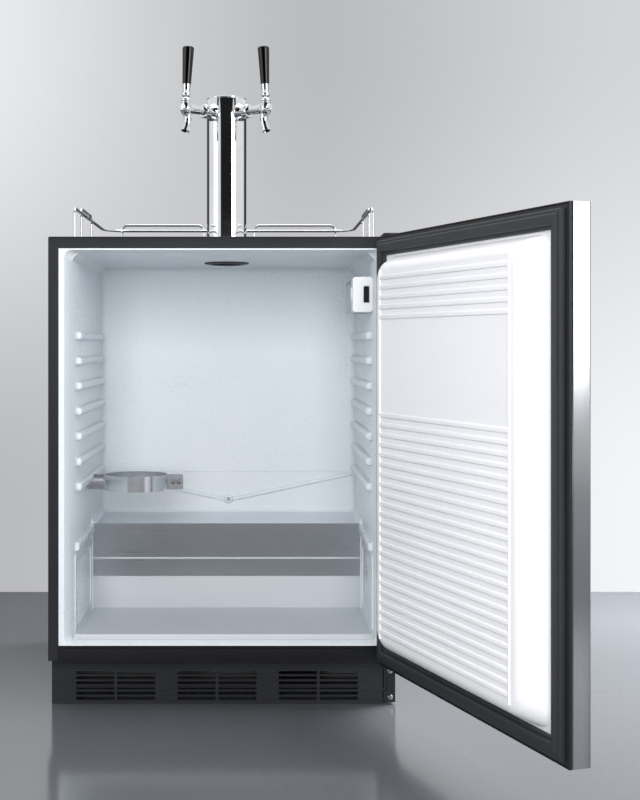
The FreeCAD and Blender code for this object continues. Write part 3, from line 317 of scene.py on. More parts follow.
def carve(piece: Piece, cutters: Iterable[Piece], operation: str = "DIFFERENCE") -> Piece:
    """Takes cutters out of a piece, or joins them to it, and removes them.

    Args:
        piece: The piece to change.
        cutters: Closed pieces.
        operation: DIFFERENCE, UNION or INTERSECT.

    Returns:
        The changed piece.
    """
    for cutter in list(cutters):
        modify(piece, "BOOLEAN", object=cutter, operation=operation, solver="EXACT")
        bpy.data.objects.remove(cutter)
    return piece


def smooth(piece: Piece, angle: float = 35.0) -> Piece:
    """Shades a piece smooth across edges flatter than an angle."""
    focus(piece)
    bpy.ops.object.shade_smooth_by_angle(angle=math.radians(angle))
    return piece


def reshape(piece: Piece, change: Callable[[], None]) -> Piece:
    """Runs edit-mode operators on a piece, starting with everything selected."""
    focus(piece)
    bpy.ops.object.mode_set(mode="EDIT")
    bpy.ops.mesh.select_mode(type="VERT")
    bpy.ops.mesh.select_all(action="SELECT")
    change()
    bpy.ops.object.mode_set(mode="OBJECT")
    return piece


def pick(piece: Piece, test: Callable[[Vector, Vector], bool], edges: bool = False) -> None:
    """Selects faces by centre and normal, or edges by middle and direction, in object mode.

    Args:
        piece: The piece whose parts are selected.
        test: Says yes to a part to select.
        edges: Whether edges are selected in place of faces.
    """
    mesh = piece.data
    focus(piece)
    bpy.ops.object.mode_set(mode="EDIT")
    bpy.ops.mesh.select_mode(type="EDGE" if edges else "FACE")
    bpy.ops.mesh.select_all(action="DESELECT")
    bpy.ops.object.mode_set(mode="OBJECT")
    if edges:
        for edge in mesh.edges:
            a, b = (mesh.vertices[i].co for i in edge.vertices)
            edge.select = test((a + b) / 2, (b - a).normalized())
    else:
        for face in mesh.polygons:
            face.select = test(face.center, face.normal)


def bevel_edges(
    piece: Piece,
    test: Callable[[Vector, Vector], bool],
    width: float,
    segments: int = 6,
) -> Piece:
    """Bevels the edges that a test picks, in edit mode.

    Args:
        piece: The piece to change.
        test: Says yes to an edge by its middle and direction.
        width: The bevel's width in metres.
        segments: Its segments.

    Returns:
        The same piece.
    """
    pick(piece, test, edges=True)
    bpy.ops.object.mode_set(mode="EDIT")
    bpy.ops.mesh.bevel(offset=width, segments=segments, affect="EDGES", clamp_overlap=True)
    bpy.ops.object.mode_set(mode="OBJECT")
    return piece


def lathe(name: str, profile: Sequence[tuple[float, float]], steps: int = 64) -> Piece:
    """A turned piece about the Z axis through the origin.

    Args:
        name: The piece's name.
        profile: Points of (radius, height) in metres, in order.
        steps: Divisions round the axis.

    Returns:
        The piece, closed and with its faces outwards.
    """
    bpy.ops.object.select_all(action="DESELECT")
    bpy.ops.mesh.primitive_plane_add(size=0.01, location=(0, 0, 0))
    piece = bpy.context.object

    def draw() -> None:
        """Draws the profile from one vertex and spins it."""
        bpy.ops.mesh.merge(type="CENTER")
        first = profile[0]
        bpy.ops.transform.translate(value=(first[0], 0, first[1]))
        for before, after in zip(profile, profile[1:]):
            step = (after[0] - before[0], 0, after[1] - before[1])
            bpy.ops.mesh.extrude_region_move(TRANSFORM_OT_translate={"value": step})
        bpy.ops.mesh.select_all(action="SELECT")
        bpy.ops.mesh.spin(steps=steps, angle=math.tau, center=(0, 0, 0), axis=(0, 0, 1))
        bpy.ops.mesh.select_all(action="SELECT")
        bpy.ops.mesh.remove_doubles(threshold=0.000005)
        bpy.ops.mesh.normals_make_consistent(inside=False)

    reshape(piece, draw)
    return name_piece(piece, name)


def place(piece: Piece, matrix: Matrix) -> Piece:
    """Moves a piece's mesh by a matrix, so that its object stays at the origin."""
    piece.data.transform(matrix)
    piece.data.update()
    return piece


def turned_to(axis: Point, at: Point) -> Matrix:
    """The move that stands the Z axis along an axis and puts the origin at a point."""
    spin = Vector((0, 0, 1)).rotation_difference(Vector(axis)).to_matrix().to_4x4()
    return Matrix.Translation(Vector(at)) @ spin


def twin(piece: Piece, name: str, matrix: Matrix) -> Piece:
    """A copy of a piece with a mesh of its own, moved by a matrix."""
    copy = piece.copy()
    copy.data = piece.data.copy()
    bpy.context.scene.collection.objects.link(copy)
    return name_piece(place(copy, matrix), name)


def join(name: str, pieces: Sequence[Piece]) -> Piece:
    """Joins pieces into one object.

    Args:
        name: The joined piece's name.
        pieces: The pieces, which the joined one takes the place of.

    Returns:
        The joined piece.
    """
    bpy.ops.object.select_all(action="DESELECT")
    for piece in pieces:
        piece.select_set(True)
    bpy.context.view_layer.objects.active = pieces[0]
    if len(pieces) > 1:
        bpy.ops.object.join()
    return name_piece(bpy.context.object, name)


def wire(name: str, corners: Sequence[Point], bend: float, radius: float, sides: int = 4) -> Piece:
    """A round wire through corners, each rounded with one bend radius, made a mesh.

    Args:
        name: The piece's name.
        corners: Ends and corners of the wire, in metres.
        bend: The bend radius at each corner.
        radius: The wire's own radius.
        sides: The bevel resolution of its section.

    Returns:
        The wire as a closed mesh.
    """
    points = [Vector(c) for c in corners]
    knots: list[tuple[Vector, Vector, Vector]] = [(points[0], points[0], points[0])]
    for before, corner, after in zip(points, points[1:], points[2:]):
        back, onward = (before - corner).normalized(), (after - corner).normalized()
        half = back.angle(onward) / 2
        reach = bend / math.tan(half)
        handle = reach - (4 / 3) * math.tan((math.pi / 2 - half) / 2) * bend
        near, far = corner + back * reach, corner + onward * reach
        knots.append((near, near, corner + back * handle))
        knots.append((far, corner + onward * handle, far))
    knots.append((points[-1], points[-1], points[-1]))
    curve = bpy.data.curves.new(name, "CURVE")
    curve.dimensions = "3D"
    curve.resolution_u = 12
    curve.bevel_depth = radius
    curve.bevel_resolution = sides
    curve.use_fill_caps = True
    spline = curve.splines.new("BEZIER")
    spline.bezier_points.add(len(knots) - 1)
    for knot, (co, left, right) in zip(spline.bezier_points, knots):
        knot.co = co
        knot.handle_left = left
        knot.handle_right = right
    piece = bpy.data.objects.new(name, curve)
    bpy.context.scene.collection.objects.link(piece)
    focus(piece)
    bpy.ops.object.convert(target="MESH")
    return name_piece(bpy.context.object, name)


def dress(piece: Piece, body: str, finish: Finishes, slot: str, *nodes: str) -> Piece:
    """Gives a new piece its finish, its body and the CAD nodes that it stands for.

    Args:
        piece: The finished piece.
        body: The CAD body that it rides on.
        finish: Its finish.
        slot: The record's material slot; not used.
        *nodes: CAD nodes that it replaces.

    Returns:
        The same piece.
    """
    piece.data.materials.clear()
    piece.data.materials.append(finish.value.material())
    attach(piece, body)
    if nodes:
        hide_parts(*nodes)
    LOG.info("%s rides on %s in %s", piece.name, body, finish.value.name)
    return piece


# ------------------------------------------------------------------ CAD nodes that stay
CAD_FINISHES: dict[Finishes, tuple[str, ...]] = {
    Finishes.POWDER_COAT: ("base_frame",),
    Finishes.BLACK_PLASTIC: (
        "rear_feet", "levelling_foot_front_left", "levelling_foot_front_right", "drain_pan",
        "drain_tube", "fan_blades", "door_bushes",
    ),
    Finishes.FRAME_COAT: ("back_panel",),
    Finishes.GALVANISED: ("condenser_coil",),
    Finishes.FOAM: ("cabinet_foam", "door_foam", "tower_foam"),
    Finishes.CHROME: ("shank_nuts",),
    Finishes.MACHINE_BLACK: ("compressor", "fan_motor"),
    Finishes.ALUMINIUM: ("evaporator_plate",),
    Finishes.BRASS: ("tap_shaft_left", "tap_shaft_right"),
    Finishes.BULB: ("lamp_bulb",),
}


def dress_cad_nodes() -> None:
    """Gives every CAD node that stays in view its finish."""
    for finish, names in CAD_FINISHES.items():
        for name in names:
            for place_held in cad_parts[name].material_slots:
                place_held.material = finish.value.material()


# ------------------------------------------------------------------ camera, floor and light
@dataclass
class Studio:
    """A plain grey floor, a soft surround, the lights and the camera."""

    eye: tuple[float, float, float] = (0.0549, -2.347, 0.627)
    lens: float = 60.37
    shift: tuple[float, float] = (0.08125, -0.06875)
    floor_back: float = 1.06
    floor_reach: float = 5.0
    dark: float = 0.015
    pale: float = 0.86
    backdrop_high: tuple[tuple[float, float], ...] = (
        (0.0, 0.9), (1.0, 0.7), (0.18, 0.72), (0.4, 0.53), (0.55, 0.5), (0.8, 0.66),
    )
    backdrop_low: tuple[tuple[float, float], ...] = (
        (0.0, 0.5), (1.0, 0.97), (0.2, 0.54), (0.5, 0.68), (0.7, 0.82), (0.85, 0.92),
    )

    def build(self) -> None:
        """Makes the camera, the floor, the surround and the lights."""
        self.make_camera()
        self.make_floor()
        self.make_surround()
        self.make_lights()

    def make_camera(self) -> None:
        """Makes the camera, which looks level along +Y."""
        lens = bpy.data.cameras.new("camera")
        lens.lens = self.lens
        lens.sensor_width = 36.0
        lens.shift_x, lens.shift_y = self.shift
        lens.clip_end = 60.0
        camera = bpy.data.objects.new("camera", lens)
        camera.location = self.eye
        camera.rotation_euler = (math.radians(90), 0, 0)
        bpy.context.scene.collection.objects.link(camera)
        bpy.context.scene.camera = camera

    def make_floor(self) -> None:
        """Makes the floor, which ends a little way behind the cooler."""
        floor = block(
            "floor", (-self.floor_reach, -self.floor_reach, -0.02),
            (self.floor_reach, self.floor_back, 0.0),
        )
        floor.data.materials.append(Finishes.FLOOR.value.material())

    def make_surround(self) -> None:
        """Makes the surround: a backdrop for the camera, and a dark front and rear for reflections."""
        world = bpy.data.worlds.new("soft surround")
        world.use_nodes = True
        bpy.context.scene.world = world
        tree = world.node_tree
        tree.nodes.clear()
        output = add_node(tree, "ShaderNodeOutputWorld")
        place = add_node(tree, "ShaderNodeTexCoord")
        parts = add_node(tree, "ShaderNodeSeparateXYZ", links={0: place.outputs["Generated"]})
        across, along, upward = (parts.outputs[axis] for axis in "XYZ")
        aside = add_node(tree, "ShaderNodeMath", links={0: across}, operation="ABSOLUTE").outputs[0]
        front_middle, not_front, front_low, rear_low, rear_high = (
            add_node(
                tree, "ShaderNodeMapRange",
                {"From Min": start, "From Max": end, "To Min": low, "To Max": high},
                {"Value": value}, interpolation_type="SMOOTHSTEP",
            ).outputs["Result"]
            for value, start, end, low, high in (
                (aside, 0.52, 0.6, self.dark, self.pale), (along, -0.6, -0.3, 0.0, self.pale),
                (upward, 0.04, 0.08, 0.75, 0.0), (along, 0.42, 0.64, 1.0, 0.06),
                (upward, 0.2, 0.27, 0.0, 1.0),
            )
        )
        sides = add_node(tree, "ShaderNodeMath", links={0: front_middle, 1: not_front}, operation="MAXIMUM")
        front = add_node(tree, "ShaderNodeMath", links={0: sides.outputs[0], 1: front_low},
                         operation="MAXIMUM")
        rear = add_node(tree, "ShaderNodeMath", links={0: rear_low, 1: rear_high}, operation="MAXIMUM")
        round_about = add_node(tree, "ShaderNodeMath", links={0: front.outputs[0], 1: rear.outputs[0]},
                               operation="MULTIPLY")
        path = add_node(tree, "ShaderNodeLightPath")
        which = add_node(
            tree, "ShaderNodeMix",
            links={"Factor": path.outputs["Is Camera Ray"], 2: round_about.outputs[0],
                   3: self.backdrop(tree, across, upward)},
            data_type="FLOAT",
        )
        shade = add_node(tree, "ShaderNodeBackground", {"Color": linear("FAFBFD")},
                         {"Strength": which.outputs[0]})
        tree.links.new(shade.outputs["Background"], output.inputs["Surface"])

    def backdrop(
        self, tree: bpy.types.NodeTree, across: bpy.types.NodeSocket, upward: bpy.types.NodeSocket
    ) -> bpy.types.NodeSocket:
        """The backdrop's brightness: from upper left to lower right, with a soft dip in the middle.

        Args:
            tree: The surround's node tree.
            across: The part of the direction along X.
            upward: The part of the direction along Z.

        Returns:
            The socket that carries the brightness.
        """
        share = add_node(tree, "ShaderNodeMapRange", {"From Min": -0.2, "From Max": 0.3}, {"Value": across})
        rows = []
        for steps in (self.backdrop_low, self.backdrop_high):
            ramp = add_node(tree, "ShaderNodeValToRGB", links={"Fac": share.outputs["Result"]})
            ramp.color_ramp.interpolation = "B_SPLINE"
            stops = ramp.color_ramp.elements
            for number, (position, level) in enumerate(steps):
                stop = stops[number] if number < 2 else stops.new(position)
                stop.position = position
                stop.color = (level, level, level, 1.0)
            rows.append(ramp.outputs["Color"])
        height = add_node(tree, "ShaderNodeMapRange", {"From Min": -0.12, "From Max": 0.22},
                          {"Value": upward}, interpolation_type="SMOOTHSTEP")
        mixed = add_node(tree, "ShaderNodeMix",
                         links={"Factor": height.outputs["Result"], 6: rows[0], 7: rows[1]},
                         data_type="RGBA")
        return mixed.outputs[2]

    def make_lights(self) -> None:
        """Makes the softboxes, a front fill and one light over the floor."""
        self.softbox("left softbox", (-2.6, -0.9, 1.5), (0, 0.2, 0.8), (1.4, 1.8), 7, True)
        self.softbox("right softbox", (2.3, -2.3, 1.6), (0.3, -0.4, 0.6), (1.5, 1.6), 30, True)
        self.softbox("overhead softbox", (0.2, 0.4, 3.0), (0, 0.2, 0), (2.4, 1.8), 28, True)
        self.softbox("front fill", (-0.1, -3.4, 1.2), (0, 0.3, 0.6), (1.6, 1.6), 104, False)
        self.softbox("floor light", (1.25, 0.75, 0.9), (1.1, 0.75, 0), (1.0, 1.1), 80, False)

    def softbox(
        self, name: str, at: Point, aim: Point, size: tuple[float, float], power: float, shine: bool
    ) -> None:
        """Makes one rectangular softbox.

        Args:
            name: The light's name.
            at: Its place.
            aim: The point it faces.
            size: Its width and height in metres.
            power: Its power in watts.
            shine: Whether it shows in reflections.
        """
        light = bpy.data.lights.new(name, "AREA")
        light.shape = "RECTANGLE"
        light.size, light.size_y = size
        light.energy = power
        lamp = bpy.data.objects.new(name, light)
        lamp.location = at
        lamp.rotation_euler = (Vector(aim) - Vector(at)).to_track_quat("-Z", "Y").to_euler()
        lamp.visible_glossy = shine
        lamp.visible_camera = False
        bpy.context.scene.collection.objects.link(lamp)


# ------------------------------------------------------------------ sizes shared by the sub-assemblies
KICK_BACK = 47.0


def at(x: float, y: float, z: float) -> Vector:
    """A point from cabinet sizes in millimetres, with Y from the front plane, in metres."""
    return Vector((x * MM, (y - KICK_BACK) * MM, z * MM))


def cutter(low: Point, high: Point, corner: float = 0.0, along: int = 2) -> Piece:
    """A box in cabinet millimetres for cutting, with round corners along one axis.

    Args:
        low: Its lowest corner.
        high: Its highest corner.
        corner: The radius of the corners in millimetres.
        along: The axis that the rounded edges run along.

    Returns:
        The cutter.
    """
    piece = block("cutter", at(*low), at(*high))
    if corner > 0:
        bevel_edges(piece, lambda middle, way: abs(way[along]) > 0.9, corner * MM, 8)
    return piece


@dataclass
class CabinetShell:
    """The painted shell: wrap, top panel, frame round the mouth, bottom rail and kick grille."""

    half: float = 300.0
    top: float = 813.0
    under_top: float = 811.0
    depth: float = 550.0
    base: float = 85.0
    stile: float = 17.7
    head: float = 20.0
    sill: float = 26.0
    frame_deep: float = 6.0
    tower_y: float = 300.0
    passage: float = 29.0
    kick_right: float = 278.0
    wall: float = 1.2
    bay_front: float = 327.5
    fold_radius: float = 3.0
    lid_corner: float = 4.0
    lid_edge: float = 0.9
    flute_first: float = 0.6
    flute_pitch: float = 4.475
    flute_tall: float = 2.9
    flute_count: int = 19
    slot_first: float = 7.0
    slot_pitch: float = 8.95
    slot_tall: float = 5.4
    slot_rows: int = 6
    slot_groups: int = 3

    def build(self) -> None:
        """Builds and dresses every piece of the shell."""
        dress(self.top_panel(), "cabinet", Finishes.POWDER_COAT, "top_black", "top_panel")
        dress(self.mouth_frame(), "cabinet", Finishes.FRAME_COAT, "black_painted_steel", "front_frame")
        dress(self.sill_rail(), "cabinet", Finishes.BLACK_PLASTIC, "black_plastic", "bottom_rail")
        dress(self.wrap(), "cabinet", Finishes.POWDER_COAT, "black_painted_steel", "cabinet_wrap")
        dress(self.kick_grille(), "cabinet", Finishes.KICK_PLASTIC, "black_plastic", "kick_grille")

    def top_panel(self) -> Piece:
        """The top panel with a rolled edge and the passage to the tower."""
        lid = block("top_panel_rolled", at(-self.half, 0, self.under_top),
                    at(self.half, self.depth, self.top))
        bevel_edges(lid, lambda middle, way: abs(way.z) > 0.9, self.lid_corner * MM, 8)
        passage = self.passage * MM
        hole = lathe("passage", [(0, -0.01), (passage, -0.01), (passage, 0.01), (0, 0.01)])
        place(hole, Matrix.Translation(at(0, self.tower_y, self.top)))
        carve(lid, [hole])
        round_edges(lid, self.lid_edge * MM, 4)
        return smooth(lid)

    def mouth_frame(self) -> Piece:
        """The frame round the mouth: two stiles and a head with mitred corners and rounded front edges."""
        half, low, high = self.half, self.base, self.under_top
        frame_piece = block("mouth_frame", at(-half, 0, low), at(half, self.frame_deep, high))
        opening = block("opening", at(-half + self.stile, -5, low - 5),
                        at(half - self.stile, self.frame_deep + 5, self.top - self.head))
        carve(frame_piece, [opening])
        bevel_edges(frame_piece, lambda middle, way: middle.y < at(0, 1, 0).y, 1.3 * MM, 4)
        grooves = []
        for side in (-1, 1):
            seam = block("mitre", (-0.02, -0.0006, -0.00025), (0.02, 0.0006, 0.00025))
            corner = at(side * (half - self.stile / 2), 0.1, high - self.head / 2 + 1)
            place(seam, Matrix.Translation(corner) @ Matrix.Rotation(-side * math.radians(45), 4, "Y"))
            grooves.append(seam)
        carve(frame_piece, grooves)
        return smooth(frame_piece)

    def sill_rail(self) -> Piece:
        """The bottom rail, with a shallow step along its upper edge."""
        inner = self.half - self.stile - 0.35
        rail = block("sill_rail", at(-inner, 0, self.base), at(inner, self.frame_deep, self.base + self.sill))
        groove = block("groove", at(-inner - 2, -2, self.base + self.sill - 5.2),
                       at(inner + 2, 0.7, self.base + self.sill - 4.2))
        carve(rail, [groove])
        round_edges(rail, 0.8 * MM, 3)
        return smooth(rail)

    def wrap(self) -> Piece:
        """The painted wrap: two sides and a floor, folded with rounded lower edges."""
        wall = self.wall
        shell = block("wrap_folded", at(-self.half, self.frame_deep, self.base),
                      at(self.half, self.depth, self.under_top))
        foot = at(0, 0, self.base + 5).z
        bevel_edges(shell, lambda middle, way: abs(way.y) > 0.9 and middle.z < foot, self.fold_radius * MM, 5)
        room = block("room", at(-self.half + wall, 0, self.base + wall), at(self.half - wall, 600, 900))
        bay = block("bay", at(-self.half + wall, self.bay_front, 0), at(self.half - wall, 600, 100))
        carve(shell, [room, bay])
        return smooth(shell)

    def kick_grille(self) -> Piece:
        """The kick grille: three groups of louvres on a finely fluted face."""
        middle, thick = KICK_BACK, 6.0
        front, rear = middle - thick / 2, middle + thick / 2
        grille = block("kick_grille_fluted", at(-self.half, front + 0.7, 0),
                       at(self.kick_right, rear, self.base - 1))
        bars = []
        for row in range(self.flute_count):
            low = self.flute_first + row * self.flute_pitch
            bars.append(block("flute", at(-self.half, front, low),
                              at(self.kick_right, front + 1.2, low + self.flute_tall)))
        fluting = join("fluting", bars)
        crest = at(0, front + 0.5, 0).y
        bevel_edges(fluting, lambda m, way: abs(way.x) > 0.9 and m.y < crest, 0.65 * MM, 2)
        width, gap, margin, bar = 138.0, 39.0, 42.5, 5.0
        slots = []
        for group in range(self.slot_groups):
            start = margin - self.half + (width + gap) * group
            halves = ((start, start + (width - bar) / 2), (start + (width + bar) / 2, start + width))
            for left, right in halves:
                for row in range(self.slot_rows):
                    low = self.slot_first + self.slot_pitch * row
                    slots.append(block("slot", at(left, 0, low), at(right, 100, low + self.slot_tall)))
        openings = join("slots", slots)
        openings_too = twin(openings, "slots_too", Matrix.Identity(4))
        carve(grille, [openings])
        carve(fluting, [openings_too])
        return smooth(join("kick_grille_fluted", [grille, fluting]))


@dataclass
class Liner:
    """The vacuum formed inside with soft shelf ribs, the drain gutter and the ledges."""

    half: float = 262.0
    mouth: float = 274.0
    low: float = 118.0
    high: float = 786.0
    mouth_low: float = 113.0
    mouth_high: float = 791.0
    back: float = 480.0
    riser: float = 297.0
    tread: float = 281.0
    flare: float = 22.0
    flange: tuple[float, float, float] = (282.0, 111.2, 792.8)
    corner: float = 16.0
    back_corner: float = 12.0
    floor_corner: float = 4.0
    mouth_corner: float = 12.0
    bush_y: float = 300.0
    bush_radius: float = 32.0
    rib_first: float = 369.0
    rib_pitch: float = 44.5
    rib_tall: float = 15.0
    rib_out: float = 12.0
    rib_front: float = 62.0
    rib_back: float = 440.0
    rib_count: int = 7
    rib_round: float = 6.4
    ledge_out: float = 8.0
    gutter_rise: float = 55.0
    brow_low: float = 364.0
    brow_tall: float = 3.4

    def build(self) -> None:
        """Builds and dresses the liner."""
        dress(self.moulding(), "cabinet", Finishes.LINER_WHITE, "white_liner", "inner_liner")

    def moulding(self) -> Piece:
        """The moulding: a flared box with a step, to which the ribs and the gutter are joined."""
        body = self.shell()
        extras = [self.rib(side, self.rib_first + row * self.rib_pitch)
                  for side in (-1, 1) for row in range(self.rib_count)]
        extras += [self.ledge(side) for side in (-1, 1)]
        extras += [self.side_panel(side) for side in (-1, 1)]
        extras.append(self.gutter())
        return smooth(join("liner_moulding", [body, *extras]), 40)

    def shell(self) -> Piece:
        """The flared box, open at the front, with large soft corners inside."""
        outer = block("liner_shell", at(-self.half - 2, self.flare, self.low - 2),
                      at(self.half + 2, self.back + 2, self.high + 2))
        step = block("step", at(-300, self.riser + 2.4, 0), at(300, 600, self.tread - 2))
        wide, foot, head = self.flange
        flange = block("flange", at(-wide, 1, foot), at(wide, self.flare + 0.1, head))
        carve(outer, [step])
        carve(outer, [flange], "UNION")
        main = cutter((-self.half, -30, self.tread), (self.half, self.back, self.high), self.corner, 1)
        bevel_edges(main, lambda m, way: m.y > at(0, self.back - 1, 0).y, self.back_corner * MM, 6)
        lower = cutter((-self.half, -30, self.low), (self.half, self.riser, self.tread + 60),
                       self.floor_corner, 1)
        carve(outer, [main, lower, self.mouth_funnel()])
        radius = self.bush_radius * MM
        hole = lathe("bush_hole", [(0, -0.02), (radius, -0.02), (radius, 0.02), (0, 0.02)])
        place(hole, Matrix.Translation(at(0, self.bush_y, self.high)))
        return carve(outer, [hole])

    def mouth_funnel(self) -> Piece:
        """The flare at the mouth, from the wide opening to the room."""
        funnel = block("funnel", at(-self.mouth, -2, self.mouth_low),
                       at(self.mouth, self.flare + 0.5, self.mouth_high))
        pick(funnel, lambda centre, normal: normal.y > 0.9)
        bpy.ops.object.mode_set(mode="EDIT")
        wide = (self.half - 0.3) / self.mouth
        tall = (self.high - self.low - 0.6) / (self.mouth_high - self.mouth_low)
        bpy.ops.transform.resize(value=(wide, 1, tall))
        bpy.ops.object.mode_set(mode="OBJECT")
        return bevel_edges(funnel, lambda m, way: abs(way.y) > 0.5, self.mouth_corner * MM, 6)

    def rib(self, side: int, low: float) -> Piece:
        """One shelf rib with a rounded crest and a rounded nose."""
        wall, tip = side * (self.half + 1), side * (self.half - self.rib_out)
        x0, x1 = sorted((wall, tip))
        bar = block("rib", at(x0, self.rib_front, low), at(x1, self.rib_back, low + self.rib_tall))
        far, front = abs(at(tip, 0, 0).x), at(0, self.rib_front, 0).y
        near = 0.4 * MM
        return bevel_edges(bar, lambda m, way: abs(abs(m.x) - far) < near or m.y < front + near,
                           self.rib_round * MM, 7)

    def ledge(self, side: int) -> Piece:
        """The ledge that the front edge of the step cover lines up with."""
        wall, tip = side * (self.half + 1), side * (self.half - self.ledge_out)
        x0, x1 = sorted((wall, tip))
        bar = block("ledge", at(x0, self.rib_front, self.tread - 16), at(x1, self.riser - 1, self.tread - 2))
        far = abs(at(tip, 0, 0).x)
        return bevel_edges(bar, lambda m, way: abs(abs(m.x) - far) < 0.0004, 4 * MM, 6)

    def side_panel(self, side: int) -> Piece:
        """The raised border of the lower side wall."""
        inner, outer = self.half - 2.2, self.half + 1
        x0, x1 = sorted((side * inner, side * outer))
        plate = block("side_panel", at(x0, 56, self.low + 3), at(x1, self.riser - 6, self.tread - 24))
        x0, x1 = sorted((side * 200, side * 400))
        field_cut = block("field", at(x0, 74, self.low + 14), at(x1, self.riser - 20, self.tread - 38))
        for piece in (field_cut, plate):
            bevel_edges(piece, lambda m, way: abs(way.x) > 0.9, 10 * MM, 6)
        carve(plate, [field_cut])
        return round_edges(plate, 1.0 * MM, 3, 60)

    def gutter(self) -> Piece:
        """The shallow V gutter on the back wall, the brow above it and the drain's nozzle."""
        halves = []
        reach, rise = self.half - 6, self.gutter_rise
        angle = math.atan2(rise, reach)
        length = math.hypot(reach, rise)
        for side in (-1, 1):
            bar = block("gutter", (0, -0.006, 0), (length * MM, 0.001, 0.0088))
            bevel_edges(bar, lambda m, way: m.y < -0.005, 4.2 * MM, 6)
            turn = Matrix.Rotation(-angle, 4, "Y")
            if side < 0:
                turn = Matrix.Diagonal((-1, 1, 1, 1)) @ turn
            place(bar, Matrix.Translation(at(0, self.back, self.tread + 21)) @ turn)
            reshape(bar, lambda: bpy.ops.mesh.normals_make_consistent(inside=False))
            halves.append(bar)
        brow = block("brow", at(-reach + 4, self.back - 1.6, self.brow_low),
                     at(reach - 4, self.back + 1, self.brow_low + self.brow_tall))
        halves.append(bevel_edges(brow, lambda m, way: m.y < at(0, self.back - 1, 0).y, 1.4 * MM, 4))
        nozzle = lathe("nozzle", [(0, 0.001), (0.0095, 0.001), (0.0095, -0.005), (0.0075, -0.0088),
                                  (0.0036, -0.0094), (0.0036, -0.004), (0, -0.004)], 32)
        place(nozzle, turned_to((0, 1, 0), at(0, self.back, self.tread + 28)))
        return join("gutter", [*halves, nozzle])


@dataclass
class SteelCovers:
    """The stainless cover over the step, the dull sheet below it and the tray on the floor."""

    half: float = 258.0
    low: float = 118.0
    riser: float = 297.0
    tread: float = 281.0
    back: float = 480.0
    lip: float = 18.0
    crease: float = 213.0
    apron_top: float = 180.0

    def build(self) -> None:
        """Builds and dresses the three sheets."""
        dress(self.step_cover(), "cabinet", Finishes.BRUSHED_X, "stainless", "step_cover")
        # The apron and the tray wear the satin finish, whose pale diffuse share is painted reflection.
        dress(self.step_apron(), "cabinet", Finishes.SATIN_X, "stainless")
        dress(self.floor_tray(), "cabinet", Finishes.SATIN_X, "stainless", "floor_tray")

    def step_cover(self) -> Piece:
        """The folded cover: the upper riser, and a tread with a soft front fold."""
        riser = block("riser", at(-self.half, self.riser - 1, self.apron_top),
                      at(self.half, self.riser, self.tread + 1))
        tread = block("tread", at(-self.half, self.riser - 1, self.tread),
                      at(self.half, self.back - 10, self.tread + 1))
        carve(riser, [tread], "UNION")
        fold = at(0, self.riser - 0.5, self.tread)
        bevel_edges(riser, lambda m, way: abs(way.x) > 0.9 and m.y < fold.y and m.z > fold.z, 0.9 * MM, 4)
        riser.name = "step_cover_folded"
        return smooth(riser, 50)

    def step_apron(self) -> Piece:
        """The dull sheet down to the tray, and the pressed crease above it."""
        apron = block("apron", at(-self.half, self.riser - 1, self.low + 1),
                      at(self.half, self.riser, self.apron_top))
        round_edges(apron, 0.2 * MM, 2)
        crease = block("crease", at(-self.half + 1, self.riser - 2.4, self.crease),
                       at(self.half - 1, self.riser - 0.5, self.crease + 4))
        crest = at(0, self.riser - 2, 0).y
        bevel_edges(crease, lambda m, way: abs(way.x) > 0.9 and m.y < crest, 1.5 * MM, 5)
        return smooth(join("step_apron", [apron, crease]), 50)

    def floor_tray(self) -> Piece:
        """The tray with a rolled lip along its front."""
        sheet = block("floor_tray_rolled", at(-self.half, self.lip + 8, self.low),
                      at(self.half, self.riser - 0.05, self.low + 1))
        lip = block("lip", at(-self.half, self.lip, self.low), at(self.half, self.lip + 13, self.low + 9))
        rear, front = at(0, self.lip + 12, self.low + 8), at(0, self.lip + 1, self.low + 8)
        bevel_edges(lip, lambda m, way: abs(way.x) > 0.9 and m.z > rear.z and m.y > rear.y, 6 * MM, 6)
        bevel_edges(lip, lambda m, way: abs(way.x) > 0.9 and m.z > front.z and m.y < front.y, 1.6 * MM, 5)
        carve(sheet, [lip], "UNION")
        return smooth(sheet, 50)


